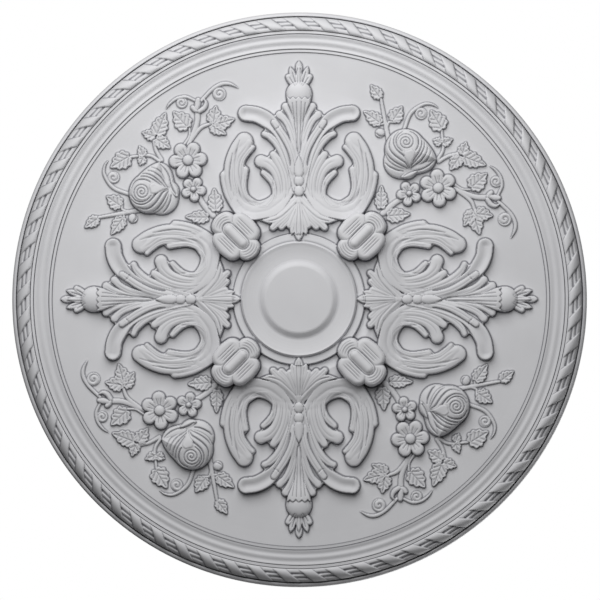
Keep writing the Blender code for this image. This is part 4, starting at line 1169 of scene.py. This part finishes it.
def wraps_tree(material):
    """Geometry Nodes: repeat the given piece round the middle, join the copies and paint them."""
    tree = bpy.data.node_groups.new("rope_wraps", "GeometryNodeTree")
    add_sockets(tree, [("Geometry", "NodeSocketGeometry", None), ("Wraps", "NodeSocketInt", 1),
                       ("Turn", "NodeSocketFloat", 0.0), ("Weld", "NodeSocketFloat", 0.0),
                       ("Material", "NodeSocketMaterial", material)],
                [("Geometry", "NodeSocketGeometry")])
    ends = tree.nodes.new("NodeGroupInput")
    out = tree.nodes.new("NodeGroupOutput")
    points = add_node(tree, "GeometryNodePoints")
    index = tree.nodes.new("GeometryNodeInputIndex")
    angle = add_node(tree, "ShaderNodeMath", operation="MULTIPLY")
    turn = tree.nodes.new("ShaderNodeCombineXYZ")
    copies = tree.nodes.new("GeometryNodeInstanceOnPoints")
    real = tree.nodes.new("GeometryNodeRealizeInstances")
    weld = tree.nodes.new("GeometryNodeMergeByDistance")
    paint = tree.nodes.new("GeometryNodeSetMaterial")
    wire(tree, (ends, "Wraps", points, "Count"), (index, 0, angle, 0), (ends, "Turn", angle, 1),
         (angle, 0, turn, "Z"), (points, 0, copies, "Points"), (ends, "Geometry", copies, "Instance"),
         (turn, 0, copies, "Rotation"), (copies, 0, real, 0), (real, 0, weld, "Geometry"),
         (ends, "Weld", weld, "Distance"), (weld, 0, paint, "Geometry"),
         (ends, "Material", paint, "Material"), (paint, 0, out, "Geometry"))
    return tree


def rope_unit(material, wraps):
    """One wrap of the rope, open at its two ends."""
    turn = 2.0 * math.pi / wraps
    angles = np.linspace(0.0, turn, WRAP_STEPS + 1)
    across = np.sin(np.linspace(-0.5 * math.pi, 0.5 * math.pi, WRAP_ROWS + 1))
    angle, side = np.meshgrid(angles, across, indexing="ij")
    drop = rope_drop(angle, side, wraps)
    three = np.linspace(-turn, 2.0 * turn, 3 * WRAP_STEPS + 1)
    wide = rope_drop(three[:, None], across[None, :], wraps)
    # Painted shade in the rope's creases, worked out over three wraps side by side
    crease = crease_shade_of(wide, ROPE_WIDTH / WRAP_ROWS)[WRAP_STEPS:2 * WRAP_STEPS + 1]
    side = np.concatenate([side, np.tile((1.0, -1.0), (len(angles), 1))], axis=1)
    radius = rope_middle() + 0.5 * ROPE_WIDTH * side
    drop = np.concatenate([drop, np.full((len(angles), 2), UNDERSIDE)], axis=1)
    crease = np.concatenate([crease, np.ones((len(angles), 2))], axis=1)
    angle = np.repeat(angles[:, None], radius.shape[1], axis=1)
    places = np.stack([radius * np.cos(angle), -radius * np.sin(angle), -drop], axis=2).reshape(-1, 3)
    ring = radius.shape[1]
    faces = []
    for step in range(WRAP_STEPS):
        for row in range(ring):
            here, there = step * ring + row, step * ring + (row + 1) % ring
            faces.append((here, here + ring, there + ring, there))
    return new_piece("rope_unit", places.tolist(), faces, crease.ravel(), material)


class RoseShape(bpy.types.PropertyGroup):
    """Sizes of the relief that a user may change."""
    grid: bpy.props.FloatProperty(name="Relief grid", description="Spacing of the relief's points",
                                  default=0.00092, min=0.0004, max=0.004, subtype="DISTANCE", unit="LENGTH")
    steps: bpy.props.IntProperty(name="Body steps", description="Steps of the turned body round its axis",
                                 default=288, min=32, max=1440)
    wraps: bpy.props.IntProperty(name="Rope wraps", description="Ribbon wraps round the rope",
                                 default=ROPE_WRAPS, min=8, max=200)


class RosePaint(bpy.types.PropertyGroup):
    """Colours and finish of the primer, and the colour and strength of the painted crease shade."""
    light: bpy.props.FloatVectorProperty(name="Primer", description="Colour of the primer",
                                         subtype="COLOR", size=4, min=0.0, max=1.0,
                                         default=(0.74, 0.74, 0.76, 1.0))
    dark: bpy.props.FloatVectorProperty(name="Clouding", description="Colour in its faint clouds",
                                        subtype="COLOR", size=4, min=0.0, max=1.0,
                                        default=(0.70, 0.70, 0.72, 1.0))
    # Colour of the painted shade in the deepest creases
    crease: bpy.props.FloatVectorProperty(name="Creases", description="Colour in the deepest creases",
                                          subtype="COLOR", size=4, min=0.0, max=1.0,
                                          default=(0.11, 0.11, 0.13, 1.0))
    # How strong the painted crease shade is
    crease_shade_share: bpy.props.FloatProperty(name="Crease strength", description="How dark the creases get",
                                          default=1.0, min=0.0, max=1.0, subtype="FACTOR")
    roughness: bpy.props.FloatProperty(name="Roughness", description="Roughness of the primer",
                                       default=0.62, min=0.0, max=1.0, subtype="FACTOR")
    grain: bpy.props.FloatProperty(name="Grain", description="Height of the primer's grain",
                                   default=0.0001, min=0.0, max=0.002, subtype="DISTANCE", unit="LENGTH")


class RoseStudio(bpy.types.PropertyGroup):
    """Camera and light round the rose."""
    distance: bpy.props.FloatProperty(name="Camera distance", description="From the rose to the camera",
                                      default=5.0, min=1.0, max=8.0, subtype="DISTANCE", unit="LENGTH")
    lens: bpy.props.FloatProperty(name="Lens", description="Focal length", default=208.6, min=20.0,
                                  max=300.0, subtype="DISTANCE_CAMERA", unit="CAMERA")
    key: bpy.props.FloatProperty(name="Key light", description="Power of the key light", default=23.6,
                                 min=0.0, max=1000.0, subtype="POWER", unit="POWER")
    fill: bpy.props.FloatProperty(name="Soft light", description="Strength of the light all round",
                                  default=0.06, min=0.0, max=5.0)


class ROSE_OT_primer(bpy.types.Operator):
    """Make the primer material, with its painted crease shade, that the other pieces wear"""
    bl_idname = "rose.primer"
    bl_label = "Primer"

    def execute(self, context):
        primer_with_painted_shade(context.scene.rose_paint)
        return {"FINISHED"}


class ROSE_OT_body(bpy.types.Operator):
    """Turn the rose's body: back, edge, lip, mouldings, field and boss"""
    bl_idname = "rose.body"
    bl_label = "Turned body"

    def execute(self, context):
        rows = [(0.0, 0.0), (0.5 * ROSE_DIAMETER, 0.0)] + body_points()
        mesh = bpy.data.meshes.new("body_profile")
        mesh.from_pydata([(radius, 0.0, -drop) for radius, drop in rows],
                         [(index, index + 1) for index in range(len(rows) - 1)], [])
        profile = linked("body_profile", mesh)
        turn = profile.modifiers.new("turn", "SCREW")
        turn.steps = turn.render_steps = context.scene.rose_shape.steps
        turn.use_merge_vertices = True
        turn.merge_threshold = MERGE
        body = plain(profile, "rose_body")
        places = np.empty(len(body.data.vertices) * 3)
        body.data.vertices.foreach_get("co", places)
        places = places.reshape(-1, 3)
        radius = np.hypot(places[:, 0], places[:, 1])
        drops = body_drop(np.arange(0.0, 0.5 * ROSE_DIAMETER, BODY_RING))
        # Painted shade in the creases of the turned profile, none on the back and the lip
        creases = crease_shade_of(np.tile(drops, (3, 1)), BODY_RING)[1]
        painted_shade = np.interp(radius, np.arange(len(drops)) * BODY_RING, creases)
        painted_shade[(places[:, 2] > -0.5 * EDGE_DROP) | (radius > 0.5 * ROSE_DIAMETER - LIP_WIDTH)] = 0.0
        finished(body.data, painted_shade, bpy.data.materials["rose_primer_painted_shade"])
        body.data.set_sharp_from_angle(angle=math.radians(SHARP_ANGLE))
        dressed([body])
        return {"FINISHED"}


class ROSE_OT_rope(bpy.types.Operator):
    """Wrap the rope of the rim with its ribbon"""
    bl_idname = "rose.rope"
    bl_label = "Rope"

    def execute(self, context):
        wraps = context.scene.rose_shape.wraps
        material = bpy.data.materials["rose_primer_painted_shade"]
        unit = rope_unit(material, wraps)
        tree = wraps_tree(material)
        repeat = unit.modifiers.new("wraps", "NODES")
        repeat.node_group = tree
        sockets = {item.name: item.identifier for item in tree.interface.items_tree
                   if item.item_type == "SOCKET" and item.in_out == "INPUT"}
        repeat[sockets["Wraps"]] = wraps
        repeat[sockets["Turn"]] = 2.0 * math.pi / wraps
        repeat[sockets["Weld"]] = WELD
        repeat[sockets["Material"]] = material
        rope = plain(unit, "rope")
        close_under(rope.data)
        rope.data.shade_smooth()
        dressed([rope])
        return {"FINISHED"}


def carve_quarters(context, name, low, high, carve):
    """Carve one ornament in its box and turn it to the four quarters of the face."""
    pieces = relief_patch(name, low, high, context.scene.rose_shape.grid, carve,
                          [turn * QUARTER for turn in range(ARMS)], bpy.data.materials["rose_primer_painted_shade"])
    dressed(pieces)
    return {"FINISHED"}


class ROSE_OT_arms(bpy.types.Operator):
    """Carve the four acanthus arms"""
    bl_idname = "rose.arms"
    bl_label = "Acanthus arms"

    def execute(self, context):
        return carve_quarters(context, "acanthus_arm", *ARM_BOX, carve_arm)


class ROSE_OT_clasps(bpy.types.Operator):
    """Carve the four clasps between the arms"""
    bl_idname = "rose.clasps"
    bl_label = "Clasps"

    def execute(self, context):
        return carve_quarters(context, "clasp", *CLASP_BOX, carve_clasp)


class ROSE_OT_sprays(bpy.types.Operator):
    """Carve the four flower sprays"""
    bl_idname = "rose.sprays"
    bl_label = "Flower sprays"

    def execute(self, context):
        return carve_quarters(context, "flower_spray", *SPRAY_BOX, carve_spray)


def area_light(name, power, size, place):
    """A square area light at a place, turned to the middle of the rose."""
    light = bpy.data.lights.new(name, "AREA")
    light.energy = power
    light.size = size
    lamp = linked(name, light)
    lamp.location = place
    lamp.rotation_mode = "QUATERNION"
    lamp.rotation_quaternion = (-Vector(place)).to_track_quat("-Z", "Y")


def studio_world(strength):
    """Soft light from all round, and plain white where the camera sees past the rose."""
    world = bpy.data.worlds.new("studio")
    world.use_nodes = True
    tree = world.node_tree
    tree.nodes.clear()
    rays = add_node(tree, "ShaderNodeLightPath")
    soft = add_node(tree, "ShaderNodeBackground", inputs={"Color": WHITE, "Strength": strength})
    white = add_node(tree, "ShaderNodeBackground", inputs={"Color": WHITE, "Strength": BACKGROUND})
    blend = add_node(tree, "ShaderNodeMixShader")
    out = add_node(tree, "ShaderNodeOutputWorld")
    wire(tree, (rays, "Is Camera Ray", blend, 0), (soft, 0, blend, 1), (white, 0, blend, 2),
         (blend, 0, out, "Surface"))
    return world


class ROSE_OT_stage(bpy.types.Operator):
    """Set up the floor, the light and the camera under the rose"""
    bl_idname = "rose.stage"
    bl_label = "Studio"

    def execute(self, context):
        scene = context.scene
        studio = scene.rose_studio
        bpy.ops.mesh.primitive_plane_add(size=FLOOR_SIZE, location=(0.0, 0.0, -FLOOR_DEPTH))
        floor = context.object
        floor.name = "floor"
        pale = bpy.data.materials.new("floor_paint")
        pale.use_nodes = True
        shader = pale.node_tree.nodes["Principled BSDF"]
        shader.inputs["Base Color"].default_value = FLOOR_COLOUR
        shader.inputs["Roughness"].default_value = FLOOR_ROUGHNESS
        floor.data.materials.append(pale)
        scene.world = studio_world(studio.fill)
        flat = math.cos(KEY_HEIGHT)
        toward = (flat * math.cos(KEY_AZIMUTH), -flat * math.sin(KEY_AZIMUTH), -math.sin(KEY_HEIGHT))
        area_light("key", studio.key, KEY_SIZE, [KEY_DISTANCE * part for part in toward])
        area_light("back_light", BACK_POWER, BACK_SIZE, BACK_PLACE)
        camera = linked("camera", bpy.data.cameras.new("camera"))
        camera.data.lens = studio.lens
        back = Vector((math.sin(CAMERA_RIGHT), math.sin(CAMERA_DOWN), -1.0)).normalized()
        right = Vector((0.0, -1.0, 0.0)).cross(back).normalized()
        turn = Matrix((right, back.cross(right), back)).transposed()
        target = Vector(LOOK_AT)
        camera.matrix_world = Matrix.Translation(target + back * studio.distance) @ turn.to_4x4()
        scene.camera = camera
        scene.view_settings.view_transform = "Standard"
        return {"FINISHED"}


class ROSE_PT_panel(bpy.types.Panel):
    """Lists the sizes, the paint and the steps of the build"""
    bl_idname = "ROSE_PT_panel"
    bl_label = "Ceiling Rose"
    bl_space_type = "VIEW_3D"
    bl_region_type = "UI"
    bl_category = "Rose"

    def draw(self, context):
        for group in (context.scene.rose_shape, context.scene.rose_paint, context.scene.rose_studio):
            box = self.layout.box()
            for name in group.__annotations__:
                box.prop(group, name)
        for step in STEPS:
            self.layout.operator(step.bl_idname)


GROUPS = {"rose_shape": RoseShape, "rose_paint": RosePaint, "rose_studio": RoseStudio}
STEPS = (ROSE_OT_primer, ROSE_OT_body, ROSE_OT_rope, ROSE_OT_arms, ROSE_OT_clasps, ROSE_OT_sprays,
         ROSE_OT_stage)


def register():
    """Register the classes and hang the property groups on the scene."""
    for kind in (*GROUPS.values(), *STEPS, ROSE_PT_panel):
        bpy.utils.register_class(kind)
    for name, group in GROUPS.items():
        setattr(bpy.types.Scene, name, bpy.props.PointerProperty(type=group))


def unregister():
    """Undo register."""
    for name in GROUPS:
        delattr(bpy.types.Scene, name)
    for kind in (ROSE_PT_panel, *reversed(STEPS), *reversed(GROUPS.values())):
        bpy.utils.unregister_class(kind)


def main():
    """Build every piece and the studio."""
    register()
    bpy.ops.rose.primer()
    bpy.ops.rose.body()
    bpy.ops.rose.rope()
    bpy.ops.rose.arms()
    bpy.ops.rose.clasps()
    bpy.ops.rose.sprays()
    bpy.ops.rose.stage()


if __name__ == "__main__":
    main()
